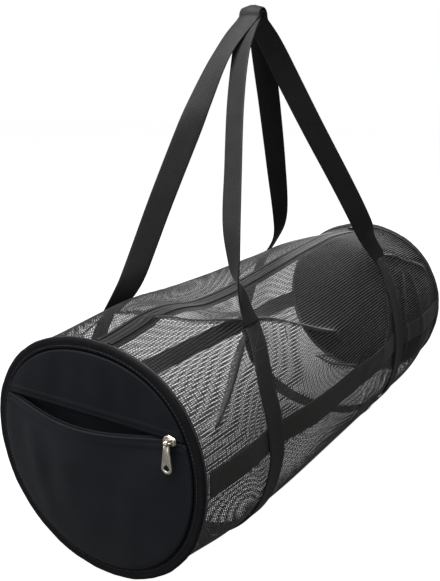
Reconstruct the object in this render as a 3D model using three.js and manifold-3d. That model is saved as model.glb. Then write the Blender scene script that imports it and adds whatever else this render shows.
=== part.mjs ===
// A mesh gear bag: a round net barrel between two cloth end panels, hung by two long webbing handles.
// Millimetres. +X runs along the barrel away from the pocket end, -Y is the front, +Z is up.
// The origin is the centre of the bend at the top of the handles, where the bag hangs.
import * as THREE from 'three';
import { mergeVertices } from 'three/addons/utils/BufferGeometryUtils.js';
import Module from 'manifold-3d';

const wasm = await Module();
wasm.setup();

// Overall sizes
const BARREL_LENGTH = 630;
const BARREL_RADIUS = 125;
const RIM_RADIUS = 119;
const FAR_RIM_STRENGTH = 0.35;
const NEAR_END_TAPER = 70;
const FAR_END_TAPER = 60;
const AXIS_DROP = 396;
const AXIS_SHIFT = 42;

// Cloth, webbing and clearances
const NET_WALL = 1.5;
const PANEL_WALL = 1.5;
const WEB_WIDTH = 26;
const WEB_THICK = 1.6;
const SIDE_BAND_WIDTH = 25;
const SIDE_BAND_THICK = 1.2;
const SEAM_GAP = 0.3;
const LAY_GAP = 0.75;

// Main zip along the top
const ZIP_SLOT = 12;
const ZIP_TAPE_WIDTH = 30;
const ZIP_TAPE_THICK = 1;
const ZIP_COIL_HEIGHT = 2.4;
const ZIP_HEM_WIDTH = 4;
const ZIP_HEM_THICK = 1;
const ZIP_END_INSET = 2;
const ZIP_NEAR_ANGLE = 4;
const ZIP_FAR_ANGLE = -5;
const ZIP_SLIDER_LENGTH = 16;
const ZIP_SLIDER_WIDTH = 10;
const ZIP_SLIDER_THICK = 3;
const ZIP_SLIDER_TAPER = 0.7;
const ZIP_SLIDER_INSET = 32;

// Binding tape round each end
const BINDING_FACE = 9;
const BINDING_LIP = 8;
const BINDING_THICK = 1.5;

// End pocket
const MOUTH_HEIGHT = 43;
const MOUTH_SAG = 9;
const MOUTH_GAPE = 2;
const POCKET_BULGE = 12;
const MOUTH_ROUNDING = 1.3;
const BULGE_FALL = 0.8;
const POCKET_TAPE_WIDTH = 9;
const POCKET_TAPE_THICK = 1;
const TAPE_LEAN = 0.86;
const TAPE_END_GAP = 1;
const SLIDER_SIDE = 86;
const SLIDER_LENGTH = 12;
const SLIDER_WIDTH = 10;
const SLIDER_THICK = 3;
const SLIDER_NOSE = 0.62;
const SLIDER_CHAMFER = 1;
const BRIDGE_SPAN = 8;
const BRIDGE_BAR = 1.5;
const BRIDGE_WIDTH = 1.6;
const BRIDGE_RISE = 3;
const BRIDGE_ROOT = 1;
const EYE_INNER = 1.5;
const EYE_OUTER = 2.6;
const EYE_LENGTH = 3.6;
const PULL_LENGTH = 28;
const PULL_TOP_WIDTH = 7;
const PULL_END_WIDTH = 9.5;
const PULL_THICK = 1.4;
const PULL_HOLE = 2.6;

// Handles
const HANG_RADIUS = 8;
const HANDLE_NEST = 3.3;
const FRONT_STITCH_ANGLE = 38;
const BACK_STITCH_ANGLE = -48;
const STITCH_LIFT = 4;
const STITCH_LIFT_LENGTH = 40;
const STITCH_LIFT_ANGLE = 18;
const LEG_HUG = 8;
const LEG_HUG_RISE = 0.06;
const FRONT_BAND_ANGLE = 88;
const BACK_BAND_ANGLE = 261;
const CROSSING_SPREAD = 15;
const CROSSING_FLAT = 1.6;

// Facets
const AROUND = 44;
const ALONG = 28;
const FRONT_SEAM_STATION = 11;
const BACK_SEAM_STATION = 32;
const LEG_STEPS = 15;
const BEND_STEPS = 8;
const LEG_CROWDING = 1.3;
const MOUTH_STEPS = 22;
const PANEL_STEPS = 5;
const ROUND_STEPS = 10;

// Round shape of the near rim, as waves round it: order, and shares of the rim radius
const RIM_WAVES = [
  { order: 1, cosine: -0.008, sine: -0.016 },
  { order: 2, cosine: -0.032, sine: -0.010 },
  { order: 3, cosine: -0.012, sine: 0.005 },
  { order: 4, cosine: -0.007, sine: 0.001 },
];

// Sag of the net along the top: depth as a share of the barrel radius, width as angles to each side
const SAG_ROUNDING = 3;
const TOP_SAG = [
  { along: 0.00, depth: 0.005, front: 14, back: 20 },
  { along: 0.09, depth: 0.020, front: 16, back: 24 },
  { along: 0.13, depth: 0.035, front: 22, back: 28 },
  { along: 0.18, depth: 0.070, front: 26, back: 30 },
  { along: 0.25, depth: 0.140, front: 33, back: 33 },
  { along: 0.34, depth: 0.155, front: 48, back: 37 },
  { along: 0.43, depth: 0.135, front: 60, back: 38 },
  { along: 0.50, depth: 0.110, front: 60, back: 38 },
  { along: 0.60, depth: 0.075, front: 52, back: 36 },
  { along: 0.71, depth: 0.050, front: 32, back: 34 },
  { along: 0.78, depth: 0.040, front: 28, back: 34 },
  { along: 0.87, depth: 0.060, front: 42, back: 36 },
  { along: 0.94, depth: 0.055, front: 54, back: 36 },
  { along: 1.00, depth: 0.005, front: 50, back: 36 },
];

// Where each girth band runs: turn from the front stitched end to the back one, place along the barrel
const NEAR_GIRTH = [
  { turn: 0.00, along: 0.222 },
  { turn: 0.07, along: 0.206 },
  { turn: 0.15, along: 0.186 },
  { turn: 0.25, along: 0.186 },
  { turn: 0.52, along: 0.184 },
  { turn: 0.81, along: 0.190 },
  { turn: 1.00, along: 0.216 },
];
const FAR_GIRTH = [
  { turn: 0.00, along: 0.756 },
  { turn: 0.07, along: 0.738 },
  { turn: 0.15, along: 0.716 },
  { turn: 0.25, along: 0.716 },
  { turn: 0.41, along: 0.746 },
  { turn: 0.52, along: 0.757 },
  { turn: 0.81, along: 0.752 },
  { turn: 1.00, along: 0.770 },
];

// How the loaded girth bands flatten the sides of the barrel
const GIRTH_PINCH = 0.072;
const GIRTH_PINCH_LENGTH = 48;
const GIRTH_PINCH_MIDDLE = 88;
const GIRTH_PINCH_ANGLE = 34;

// Handle legs from the stitched end up to the bend: rise as a share of the leg, bow towards +X as a
// share of the leg's length, twist of the width from across the bag, and fold of the two halves
const FRONT_NEAR_LEG = [
  { rise: 0.00, bow: 0.000, twist: 90, fold: 0 },
  { rise: 0.06, bow: -0.022, twist: 84, fold: 0 },
  { rise: 0.12, bow: -0.066, twist: 62, fold: 0 },
  { rise: 0.19, bow: -0.092, twist: 40, fold: 0 },
  { rise: 0.32, bow: -0.114, twist: 17, fold: 0 },
  { rise: 0.50, bow: -0.106, twist: 14, fold: 0 },
  { rise: 0.70, bow: -0.090, twist: 10, fold: 0 },
  { rise: 0.86, bow: -0.060, twist: 7, fold: 2 },
  { rise: 0.94, bow: -0.030, twist: 3, fold: 6 },
  { rise: 1.00, bow: 0.000, twist: 0, fold: 15 },
];
const FRONT_FAR_LEG = [
  { rise: 0.00, bow: 0.000, twist: -90, fold: 0 },
  { rise: 0.06, bow: -0.012, twist: -82, fold: 0 },
  { rise: 0.15, bow: -0.030, twist: -50, fold: 0 },
  { rise: 0.35, bow: -0.027, twist: -33, fold: 0 },
  { rise: 0.60, bow: -0.018, twist: -33, fold: 0 },
  { rise: 0.80, bow: -0.004, twist: -28, fold: 0 },
  { rise: 0.92, bow: 0.002, twist: -13, fold: 5 },
  { rise: 1.00, bow: 0.000, twist: 0, fold: 15 },
];
const BACK_NEAR_LEG = [
  { rise: 0.00, bow: 0.000, twist: -90, fold: 0 },
  { rise: 0.08, bow: 0.004, twist: -62, fold: 0 },
  { rise: 0.18, bow: -0.004, twist: -38, fold: 0 },
  { rise: 0.40, bow: -0.034, twist: -33, fold: 0 },
  { rise: 0.62, bow: -0.058, twist: -28, fold: 0 },
  { rise: 0.72, bow: -0.070, twist: -10, fold: 0 },
  { rise: 0.86, bow: -0.074, twist: 8, fold: 2 },
  { rise: 0.94, bow: -0.040, twist: 3, fold: 6 },
  { rise: 1.00, bow: 0.000, twist: 0, fold: 15 },
];
const BACK_FAR_LEG = [
  { rise: 0.00, bow: 0.000, twist: -90, fold: 0 },
  { rise: 0.12, bow: 0.012, twist: -84, fold: 0 },
  { rise: 0.24, bow: 0.022, twist: -72, fold: 0 },
  { rise: 0.45, bow: 0.026, twist: -54, fold: 0 },
  { rise: 0.70, bow: 0.030, twist: -34, fold: 0 },
  { rise: 0.84, bow: 0.020, twist: -26, fold: 0 },
  { rise: 0.93, bow: 0.012, twist: -12, fold: 5 },
  { rise: 1.00, bow: 0.000, twist: 0, fold: 15 },
];

// Worked out from the sizes above
const HALF_LENGTH = BARREL_LENGTH / 2;
const BODY_HALF = HALF_LENGTH - PANEL_WALL - SEAM_GAP;
const POCKET_LIFT = POCKET_TAPE_THICK + 2 * SEAM_GAP;

const material = (color, roughness, metalness) =>
  new THREE.MeshStandardMaterial({ color, roughness, metalness });

const netCloth = () => material(0x1d1e20, 0.7, 0);
const panelCloth = () => material(0x1c1e22, 0.75, 0);
const webbing = () => material(0x1a1b1b, 0.65, 0);
const sideWebbing = () => material(0x2d2e2b, 0.75, 0);
const zipNylon = () => material(0x141517, 0.55, 0);
const nickel = () => material(0xd8cfc0, 0.3, 1);

const radians = (degrees) => THREE.MathUtils.degToRad(degrees);
const wrap = (degrees) => ((degrees % 360) + 540) % 360 - 180;
const bell = (distance, spread) => Math.exp(-((distance / spread) ** 2));

// Smooth value of one column of a table at a place along its key column
function column(table, key, name, at) {
  const last = table.length - 1;
  let row = 0;
  while (row < last - 1 && table[row + 1][key] < at) row += 1;
  const from = table[row];
  const to = table[row + 1];
  const share = THREE.MathUtils.clamp((at - from[key]) / (to[key] - from[key]), 0, 1);
  const before = table[Math.max(row - 1, 0)];
  const after = table[Math.min(row + 2, last)];
  const span = to[key] - from[key];
  const slopeIn = (to[name] - before[name]) / (to[key] - before[key]);
  const slopeOut = (after[name] - from[name]) / (after[key] - from[key]);
  const square = share * share;
  const cube = square * share;
  return (2 * cube - 3 * square + 1) * from[name]
    + (cube - 2 * square + share) * span * slopeIn
    + (3 * square - 2 * cube) * to[name]
    + (cube - square) * span * slopeOut;
}

const shareAlong = (x) => THREE.MathUtils.clamp((x + HALF_LENGTH) / BARREL_LENGTH, 0, 1);
const zipAngle = (x) => THREE.MathUtils.lerp(ZIP_NEAR_ANGLE, ZIP_FAR_ANGLE, shareAlong(x));
const girthTurn = (angle) => {
  const down = angle < (FRONT_STITCH_ANGLE + BACK_STITCH_ANGLE) / 2 ? angle + 360 : angle;
  const share = (down - FRONT_STITCH_ANGLE) / (360 + BACK_STITCH_ANGLE - FRONT_STITCH_ANGLE);
  return THREE.MathUtils.clamp(share, 0, 1);
};
const girthX = (table, angle) =>
  column(table, 'turn', 'along', girthTurn(angle)) * BARREL_LENGTH - HALF_LENGTH;

// Rim radius at an angle: the near rim is pulled out of round, the far one less so
function rimRadius(angle, far) {
  const strength = far ? FAR_RIM_STRENGTH : 1;
  let share = 1;
  for (const wave of RIM_WAVES) {
    const turn = radians(wave.order * angle);
    share += strength * (wave.cosine * Math.cos(turn) + wave.sine * Math.sin(turn));
  }
  return RIM_RADIUS * share;
}

// Outer radius of the net at a place along the axis and an angle from the top towards the front
function netForm(x, angle) {
  const along = shareAlong(x);
  const turn = wrap(angle);
  const nearEnd = bell(x + HALF_LENGTH, NEAR_END_TAPER);
  const farEnd = bell(x - HALF_LENGTH, FAR_END_TAPER);
  let radius = BARREL_RADIUS
    + (rimRadius(angle, false) - BARREL_RADIUS) * nearEnd
    + (rimRadius(angle, true) - BARREL_RADIUS) * farEnd;
  const fromZip = wrap(angle - zipAngle(x));
  const width = column(TOP_SAG, 'along', fromZip > 0 ? 'front' : 'back', along);
  const reach = Math.min(Math.abs(fromZip) / width, 1);
  radius -= BARREL_RADIUS * column(TOP_SAG, 'along', 'depth', along) * (1 - reach ** SAG_ROUNDING);
  for (const girth of [NEAR_GIRTH, FAR_GIRTH]) {
    const ring = girthX(girth, turn);
    const side = bell(Math.abs(turn) - GIRTH_PINCH_MIDDLE, GIRTH_PINCH_ANGLE);
    radius -= BARREL_RADIUS * GIRTH_PINCH * side * bell(x - ring, GIRTH_PINCH_LENGTH);
    const fromStitch = Math.min(Math.abs(turn - FRONT_STITCH_ANGLE), Math.abs(turn - BACK_STITCH_ANGLE));
    radius += STITCH_LIFT * bell(x - ring, STITCH_LIFT_LENGTH) * bell(fromStitch, STITCH_LIFT_ANGLE);
  }
  return radius;
}

const stationX = (index) => THREE.MathUtils.lerp(-BODY_HALF, BODY_HALF, index / ALONG);
const slotHalfAngle = THREE.MathUtils.radToDeg(ZIP_SLOT / 2 / BARREL_RADIUS);
const stationAngle = (x, index) =>
  zipAngle(x) + THREE.MathUtils.lerp(slotHalfAngle, 360 - slotHalfAngle, index / AROUND);

// Radius of the faceted net at any place, so that what lies on it follows its facets
function netRadius(x, angle) {
  const place = THREE.MathUtils.clamp((x + BODY_HALF) / (2 * BODY_HALF) * ALONG, 0, ALONG);
  const column0 = Math.min(Math.floor(place), ALONG - 1);
  const mix = place - column0;
  const ringRadius = (index) => {
    const ringX = stationX(index);
    const around = (((angle - zipAngle(ringX)) % 360) + 360) % 360;
    const step = (360 - 2 * slotHalfAngle) / AROUND;
    const cell = THREE.MathUtils.clamp((around - slotHalfAngle) / step, 0, AROUND - 1e-6);
    const low = Math.floor(cell);
    const angles = [stationAngle(ringX, low), stationAngle(ringX, low + 1)];
    const ends = angles.map((turn) => ({ turn: radians(turn), radius: netForm(ringX, turn) }));
    const seen = radians(stationAngle(ringX, cell));
    const across = ends[0].radius * ends[1].radius * Math.sin(ends[1].turn - ends[0].turn);
    return across / (ends[0].radius * Math.sin(seen - ends[0].turn)
      + ends[1].radius * Math.sin(ends[1].turn - seen));
  };
  return THREE.MathUtils.lerp(ringRadius(column0), ringRadius(column0 + 1), mix);
}

// Point at a place along the axis, an angle from the top towards the front, and a radius
const polar = (x, angle, radius) =>
  new THREE.Vector3(x, -radius * Math.sin(radians(angle)), radius * Math.cos(radians(angle)));

// One closed body from a list of triangles given as points
function closedBody(triangles) {
  const positions = [];
  for (const [a, b, c] of triangles) {
    const flat = a.distanceToSquared(b) < 1e-8 || b.distanceToSquared(c) < 1e-8
      || c.distanceToSquared(a) < 1e-8;
    if (!flat) positions.push(...a.toArray(), ...b.toArray(), ...c.toArray());
  }
  let volume = 0;
  for (let i = 0; i < positions.length; i += 9) {
    const [a, b, c] = [0, 3, 6].map((k) => new THREE.Vector3().fromArray(positions, i + k));
    volume += a.dot(b.cross(c));
  }
  if (volume < 0) {
    for (let i = 0; i < positions.length; i += 9) {
      for (let k = 0; k < 3; k += 1) {
        [positions[i + 3 + k], positions[i + 6 + k]] = [positions[i + 6 + k], positions[i + 3 + k]];
      }
    }
  }
  const geometry = new THREE.BufferGeometry();
  geometry.setAttribute('position', new THREE.Float32BufferAttribute(positions, 3));
  const merged = mergeVertices(geometry, 1e-4);
  merged.computeVertexNormals();
  return merged;
}

// Closed body between sections, each a closed loop of points; the ends are capped or joined in a ring
function loft(sections, ring) {
  const triangles = [];
  const count = sections[0].length;
  const last = ring ? sections.length : sections.length - 1;
  for (let i = 0; i < last; i += 1) {
    const from = sections[i];
    const to = sections[(i + 1) % sections.length];
    for (let j = 0; j < count; j += 1) {
      const k = (j + 1) % count;
      triangles.push([from[j], from[k], to[k]], [from[j], to[k], to[j]]);
    }
  }
  if (!ring) {
    for (const [section, order] of [[sections[0], 1], [sections[last], -1]]) {
      const half = count / 2;
      for (let j = 0; j < half - 1; j += 1) {
        const quad = [section[j], section[j + 1], section[count - 2 - j], section[count - 1 - j]];
        const cap = [[quad[0], quad[2], quad[1]], [quad[0], quad[3], quad[2]]];
        for (const [a, b, c] of cap) triangles.push(order > 0 ? [a, b, c] : [a, c, b]);
      }
    }
  }
  return closedBody(triangles);
}

// Section of a strip of cloth: the points across its outer face, then back across its inner face
const stripSection = (outer, inner) => [...outer, ...inner.reverse()];

// Strip that lies on the net and runs along the bag at a chosen angle
function lengthStrip(angleAt, width, inset, lift, thick, pieces) {
  const sections = [];
  for (let i = 0; i <= ALONG; i += 1) {
    const x = THREE.MathUtils.clamp(stationX(i), -BODY_HALF + inset, BODY_HALF - inset);
    const middle = angleAt(x);
    const outer = [];
    const inner = [];
    for (let j = 0; j <= pieces; j += 1) {
      const aside = THREE.MathUtils.radToDeg((j / pieces - 0.5) * width / BARREL_RADIUS);
      const radius = netRadius(x, middle + aside);
      outer.push(polar(x, middle + aside, radius + lift + thick));
      inner.push(polar(x, middle + aside, radius + lift));
    }
    sections.push(stripSection(outer, inner));
  }
  return loft(sections, false);
}

// Panel of the net between two stations round it; its edges stay clear of the next panel's
function buildNetPanel(first, last) {
  const seam = THREE.MathUtils.radToDeg(SEAM_GAP / 2 / BARREL_RADIUS);
  const sections = [];
  for (let i = 0; i <= ALONG; i += 1) {
    const x = stationX(i);
    const outer = [];
    const inner = [];
    for (let j = first; j <= last; j += 1) {
      const inset = (j === first ? seam : 0) - (j === last ? seam : 0);
      const angle = stationAngle(x, j) + inset;
      const radius = netForm(x, angle);
      outer.push(polar(x, angle, radius));
      inner.push(polar(x, angle, radius - NET_WALL));
    }
    sections.push(stripSection(outer, inner));
  }
  return loft(sections, false);
}

// Main zip: a tape under the slot, the coil in it and a folded hem beside it
function buildZipTape() {
  const under = -(NET_WALL + SEAM_GAP + ZIP_TAPE_THICK);
  return lengthStrip(zipAngle, ZIP_TAPE_WIDTH, ZIP_END_INSET, under, ZIP_TAPE_THICK, 4);
}

function buildZipCoil() {
  const width = ZIP_SLOT - 2 * LAY_GAP;
  return lengthStrip(zipAngle, width, ZIP_END_INSET, -NET_WALL, ZIP_COIL_HEIGHT, 2);
}

function buildZipHem(side) {
  const aside = (ZIP_SLOT / 2 + SEAM_GAP + ZIP_HEM_WIDTH / 2) / BARREL_RADIUS;
  const middle = (x) => zipAngle(x) + side * THREE.MathUtils.radToDeg(aside);
  return lengthStrip(middle, ZIP_HEM_WIDTH, BINDING_LIP, SEAM_GAP, ZIP_HEM_THICK, 1);
}

// Closed plate between two faces, each a middle point and a rim
function plate(front, back) {
  const triangles = [];
  const count = front.rim.length;
  for (let j = 0; j < count; j += 1) {
    const k = (j + 1) % count;
    triangles.push([front.middle, front.rim[j], front.rim[k]]);
    triangles.push([back.middle, back.rim[k], back.rim[j]]);
    triangles.push([front.rim[j], back.rim[j], back.rim[k]]);
    triangles.push([front.rim[j], back.rim[k], front.rim[k]]);
  }
  return closedBody(triangles);
}

function buildEndPanel(far) {
  const outside = far ? HALF_LENGTH : -HALF_LENGTH;
  const inside = far ? outside - PANEL_WALL : outside + PANEL_WALL;
  const turns = Array.from({ length: AROUND }, (_, j) => (j * 360) / AROUND);
  const rim = (x) => turns.map((turn) => polar(x, turn, rimRadius(turn, far) - SEAM_GAP));
  const face = (x) => ({ middle: new THREE.Vector3(x, 0, 0), rim: rim(x) });
  return plate(face(outside), face(inside));
}

// Binding tape folded over the end seam: a face on the panel and a lip along the net
function buildBinding(far) {
  const side = far ? 1 : -1;
  const sections = [];
  for (let j = 0; j < AROUND; j += 1) {
    const turn = (j * 360) / AROUND;
    const rim = rimRadius(turn, far);
    const overNet = Math.max(netRadius(side * HALF_LENGTH, turn), rim);
    const lipNet = Math.max(netRadius(side * (HALF_LENGTH - BINDING_LIP), turn), rim) + LAY_GAP;
    const start = overNet + LAY_GAP;
    const profile = [
      { depth: SEAM_GAP + BINDING_THICK, radius: rim - BINDING_FACE },
      { depth: SEAM_GAP + BINDING_THICK, radius: start + BINDING_THICK },
      { depth: -BINDING_LIP, radius: lipNet + BINDING_THICK },
      { depth: -BINDING_LIP, radius: lipNet },
      { depth: SEAM_GAP, radius: start },
      { depth: SEAM_GAP, radius: rim - BINDING_FACE },
    ];
    sections.push(profile.map(({ depth, radius }) => polar(side * (HALF_LENGTH + depth), turn, radius)));
  }
  return loft(sections, true);
}

// Girth band round the barrel, lifted a little where it crosses each side band
function buildGirth(table) {
  const start = FRONT_STITCH_ANGLE;
  const end = 360 + BACK_STITCH_ANGLE;
  const steps = Math.round(((end - start) / 360) * AROUND * 2);
  const sections = [];
  for (let i = 0; i <= steps; i += 1) {
    const angle = THREE.MathUtils.lerp(start, end, i / steps);
    const middle = girthX(table, angle);
    const fromBand = Math.min(Math.abs(angle - FRONT_BAND_ANGLE), Math.abs(angle - BACK_BAND_ANGLE));
    const crossing = Math.min(CROSSING_FLAT * bell(fromBand, CROSSING_SPREAD), 1);
    const lift = LAY_GAP + (SIDE_BAND_THICK + LAY_GAP) * crossing;
    const outer = [];
    const inner = [];
    for (let j = 0; j <= 2; j += 1) {
      const x = middle + (j / 2 - 0.5) * WEB_WIDTH;
      const radius = netRadius(x, angle) + lift;
      outer.push(polar(x, angle, radius + WEB_THICK));
      inner.push(polar(x, angle, radius));
    }
    sections.push(stripSection(outer, inner));
  }
  return loft(sections, false);
}

// Stations of one handle leg, from its stitched end on the barrel up to the bend
function legStations(table, girth, stitchAngle, bendX) {
  const x = girthX(girth, stitchAngle);
  const inward = Math.sign(stitchAngle);
  const turn = radians(stitchAngle);
  const tangent = new THREE.Vector3(0, inward * Math.cos(turn), inward * Math.sin(turn));
  const under = [-0.5, 0, 0.5].map((side) => netRadius(x + side * WEB_WIDTH, stitchAngle));
  const foot = polar(x, stitchAngle, Math.max(...under) + LAY_GAP + WEB_THICK / 2);
  foot.addScaledVector(tangent, SEAM_GAP);
  const head = new THREE.Vector3(bendX, 0, AXIS_DROP);
  const length = foot.distanceTo(head);
  const stations = [];
  for (let i = 0; i <= LEG_STEPS; i += 1) {
    const rise = (i / LEG_STEPS) ** LEG_CROWDING;
    const point = foot.clone().lerp(head, rise);
    point.x += column(table, 'rise', 'bow', rise) * length;
    const hug = (rise / LEG_HUG_RISE) * Math.exp(1 - rise / LEG_HUG_RISE);
    point.addScaledVector(tangent, LEG_HUG * hug);
    const twist = column(table, 'rise', 'twist', rise);
    const fold = column(table, 'rise', 'fold', rise);
    stations.push({ point, twist, fold, end: i === 0 });
  }
  stations[0].tangent = tangent;
  stations[LEG_STEPS].tangent = new THREE.Vector3(0, 0, 1);
  return stations;
}

// Handle: two legs and the bend between them, as one webbing strip with twist and fold
function buildHandle(nearTable, farTable, stitchAngle, radius) {
  const near = legStations(nearTable, NEAR_GIRTH, stitchAngle, -AXIS_SHIFT - radius);
  const far = legStations(farTable, FAR_GIRTH, stitchAngle, -AXIS_SHIFT + radius);
  const bend = [];
  for (let i = 1; i < BEND_STEPS; i += 1) {
    const turn = Math.PI * (1 - i / BEND_STEPS);
    const x = -AXIS_SHIFT + radius * Math.cos(turn);
    bend.push({
      point: new THREE.Vector3(x, 0, AXIS_DROP + radius * Math.sin(turn)),
      tangent: new THREE.Vector3(Math.sin(turn), 0, -Math.cos(turn)),
      twist: 0,
      fold: near[LEG_STEPS].fold,
    });
  }
  const down = far.reverse().map((station) => {
    const tangent = station.tangent?.clone().negate();
    return { ...station, tangent, down: true };
  });
  const route = [...near, ...bend, ...down];
  const sections = route.map((station, i) => {
    const before = route[Math.max(i - 1, 0)].point;
    const after = route[Math.min(i + 1, route.length - 1)].point;
    const tangent = (station.tangent ?? after.clone().sub(before)).clone().normalize();
    const across = new THREE.Vector3(0, 1, 0);
    across.addScaledVector(tangent, -across.dot(tangent)).normalize();
    const upward = station.down ? tangent.clone().negate() : tangent;
    if (station.end) across.set(Math.sign(station.twist), 0, 0);
    else across.applyAxisAngle(upward, -radians(station.twist));
    const outward = tangent.clone().cross(across);
    return webSection(station.point, across, outward, radians(station.fold));
  });
  return loft(sections, false);
}

// Webbing section of three points across, its halves folded inward like a roof
function webSection(point, across, outward, fold) {
  const outer = [];
  const inner = [];
  for (const side of [-1, 0, 1]) {
    const reach = (side * WEB_WIDTH) / 2;
    const middle = point.clone().addScaledVector(across, reach * Math.cos(fold));
    middle.addScaledVector(outward, -Math.abs(reach) * Math.sin(fold));
    const normal = outward.clone().multiplyScalar(side === 0 ? 1 / Math.cos(fold) : Math.cos(fold));
    normal.addScaledVector(across, side * Math.sin(fold));
    outer.push(middle.clone().addScaledVector(normal, WEB_THICK / 2));
    inner.push(middle.clone().addScaledVector(normal, -WEB_THICK / 2));
  }
  return stripSection(outer, inner);
}

// Inner reach of the pocket panels at an angle, just inside the binding
const panelReach = (angle) => rimRadius(angle, false) - BINDING_FACE - LAY_GAP;

// Angle where a level line across the end panel meets that reach, on the front or the back side
function cornerAngle(height, side) {
  const halvings = 40;
  let low = 0;
  let high = 90;
  for (let i = 0; i < halvings; i += 1) {
    const middle = (low + high) / 2;
    if (panelReach(side * middle) * Math.cos(radians(middle)) > height) low = middle;
    else high = middle;
  }
  return side * low;
}
const cornerY = (height, side) => {
  const angle = cornerAngle(height, side);
  return -panelReach(angle) * Math.sin(radians(angle));
};

// The mouth is open from the slider to the back side: 0 where closed, 1 in the middle of the gape
function mouthOpen(y) {
  const start = -SLIDER_SIDE + SLIDER_LENGTH / 2;
  const share = (y - start) / (cornerY(MOUTH_HEIGHT, -1) - start);
  return Math.sin(Math.PI * THREE.MathUtils.clamp(share, 0, 1));
}
const mouthEdge = (y) => MOUTH_HEIGHT - MOUTH_GAPE - MOUTH_SAG * mouthOpen(y);
const mouthBulge = (y) => POCKET_BULGE * mouthOpen(y) ** MOUTH_ROUNDING;

// Sheet between an edge across the panel and the arc below or above it
function panelSheet(height, start, end, edge, bulge) {
  const outside = -HALF_LENGTH - POCKET_LIFT;
  const startY = -panelReach(start) * Math.sin(radians(start));
  const endY = -panelReach(end) * Math.sin(radians(end));
  const sections = [];
  for (let i = 0; i <= MOUTH_STEPS; i += 1) {
    const share = i / MOUTH_STEPS;
    const y = THREE.MathUtils.lerp(startY, endY, share);
    const arc = polar(0, THREE.MathUtils.lerp(start, end, share), 1);
    const rim = arc.clone().multiplyScalar(panelReach(THREE.MathUtils.lerp(start, end, share)));
    const outer = [];
    const inner = [];
    for (let j = 0; j <= PANEL_STEPS; j += 1) {
      const down = j / PANEL_STEPS;
      const point = new THREE.Vector3(0, y, edge(y)).lerp(rim, down);
      const x = outside - bulge(y) * (1 - down) ** BULGE_FALL;
      outer.push(new THREE.Vector3(x - PANEL_WALL, point.y, point.z));
      inner.push(new THREE.Vector3(x, point.y, point.z));
    }
    sections.push(stripSection(outer, inner));
  }
  return loft(sections, false);
}

function buildPocketFront() {
  const height = MOUTH_HEIGHT - MOUTH_GAPE;
  return panelSheet(height, cornerAngle(height, 1), 360 + cornerAngle(height, -1), mouthEdge, mouthBulge);
}

function buildPocketTop() {
  const level = () => MOUTH_HEIGHT;
  const flat = () => 0;
  return panelSheet(MOUTH_HEIGHT, cornerAngle(MOUTH_HEIGHT, 1), cornerAngle(MOUTH_HEIGHT, -1), level, flat);
}

// One side of the pocket zip: a tape behind a panel's edge, its free edge closer to the end panel
function buildPocketTape(low, high, bulge) {
  const corner = MOUTH_HEIGHT + POCKET_TAPE_WIDTH;
  const start = cornerY(corner, 1) + TAPE_END_GAP;
  const end = cornerY(corner, -1) - TAPE_END_GAP;
  const sections = [];
  for (let i = 0; i <= MOUTH_STEPS; i += 1) {
    const y = THREE.MathUtils.lerp(start, end, i / MOUTH_STEPS);
    const base = -HALF_LENGTH - SEAM_GAP;
    const ends = [{ x: base - TAPE_LEAN * bulge(y), z: low(y) }, { x: base - bulge(y), z: high(y) }];
    const outer = ends.map(({ x, z }) => new THREE.Vector3(x - POCKET_TAPE_THICK, y, z));
    const inner = ends.map(({ x, z }) => new THREE.Vector3(x, y, z));
    sections.push(stripSection(outer, inner));
  }
  return loft(sections, false);
}

// Solid library bodies for the zip metal, joined from plain extrusions
function solid(geometry) {
  const plain = geometry.clone();
  plain.deleteAttribute('normal');
  plain.deleteAttribute('uv');
  const merged = mergeVertices(plain, 1e-4);
  return new wasm.Manifold(new wasm.Mesh({
    numProp: 3,
    vertProperties: new Float32Array(merged.attributes.position.array),
    triVerts: new Uint32Array(merged.index.array),
  }));
}

function joined(...geometries) {
  const whole = geometries.map(solid).reduce((sum, next) => sum.add(next));
  const mesh = whole.getMesh();
  const geometry = new THREE.BufferGeometry();
  geometry.setAttribute('position', new THREE.BufferAttribute(mesh.vertProperties, 3));
  geometry.setIndex(new THREE.BufferAttribute(mesh.triVerts, 1));
  geometry.computeVertexNormals();
  return geometry;
}

const extrude = (shape, depth) =>
  new THREE.ExtrudeGeometry(shape, { depth, bevelEnabled: false, curveSegments: ROUND_STEPS });

// Slider as seen facing the pocket: a rounded body and a bridge that stands out from it
function buildPocketSlider() {
  const lobe = SLIDER_WIDTH / 2;
  const nose = lobe * SLIDER_NOSE;
  const body = new THREE.Shape();
  body.absarc(-SLIDER_LENGTH / 2 + lobe, 0, lobe, Math.PI / 2, (3 * Math.PI) / 2, false);
  body.lineTo(SLIDER_LENGTH / 2 - SLIDER_CHAMFER, -nose);
  body.lineTo(SLIDER_LENGTH / 2, SLIDER_CHAMFER - nose);
  body.lineTo(SLIDER_LENGTH / 2, nose - SLIDER_CHAMFER);
  body.lineTo(SLIDER_LENGTH / 2 - SLIDER_CHAMFER, nose);
  body.closePath();
  const half = BRIDGE_SPAN / 2;
  const top = BRIDGE_RISE + BRIDGE_BAR / 2;
  const arch = new THREE.Shape();
  arch.moveTo(-half, -BRIDGE_ROOT);
  arch.lineTo(half, -BRIDGE_ROOT);
  arch.lineTo(half, top);
  arch.lineTo(-half, top);
  arch.closePath();
  const window = new THREE.Path();
  window.moveTo(-half + BRIDGE_BAR, 0);
  window.lineTo(-half + BRIDGE_BAR, top - BRIDGE_BAR);
  window.lineTo(half - BRIDGE_BAR, top - BRIDGE_BAR);
  window.lineTo(half - BRIDGE_BAR, 0);
  window.closePath();
  arch.holes.push(window);
  const bridge = extrude(arch, BRIDGE_WIDTH);
  bridge.translate(0, 0, -BRIDGE_WIDTH / 2);
  bridge.rotateX(Math.PI / 2);
  bridge.translate(0, 0, SLIDER_THICK);
  return joined(extrude(body, SLIDER_THICK), bridge);
}

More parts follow.
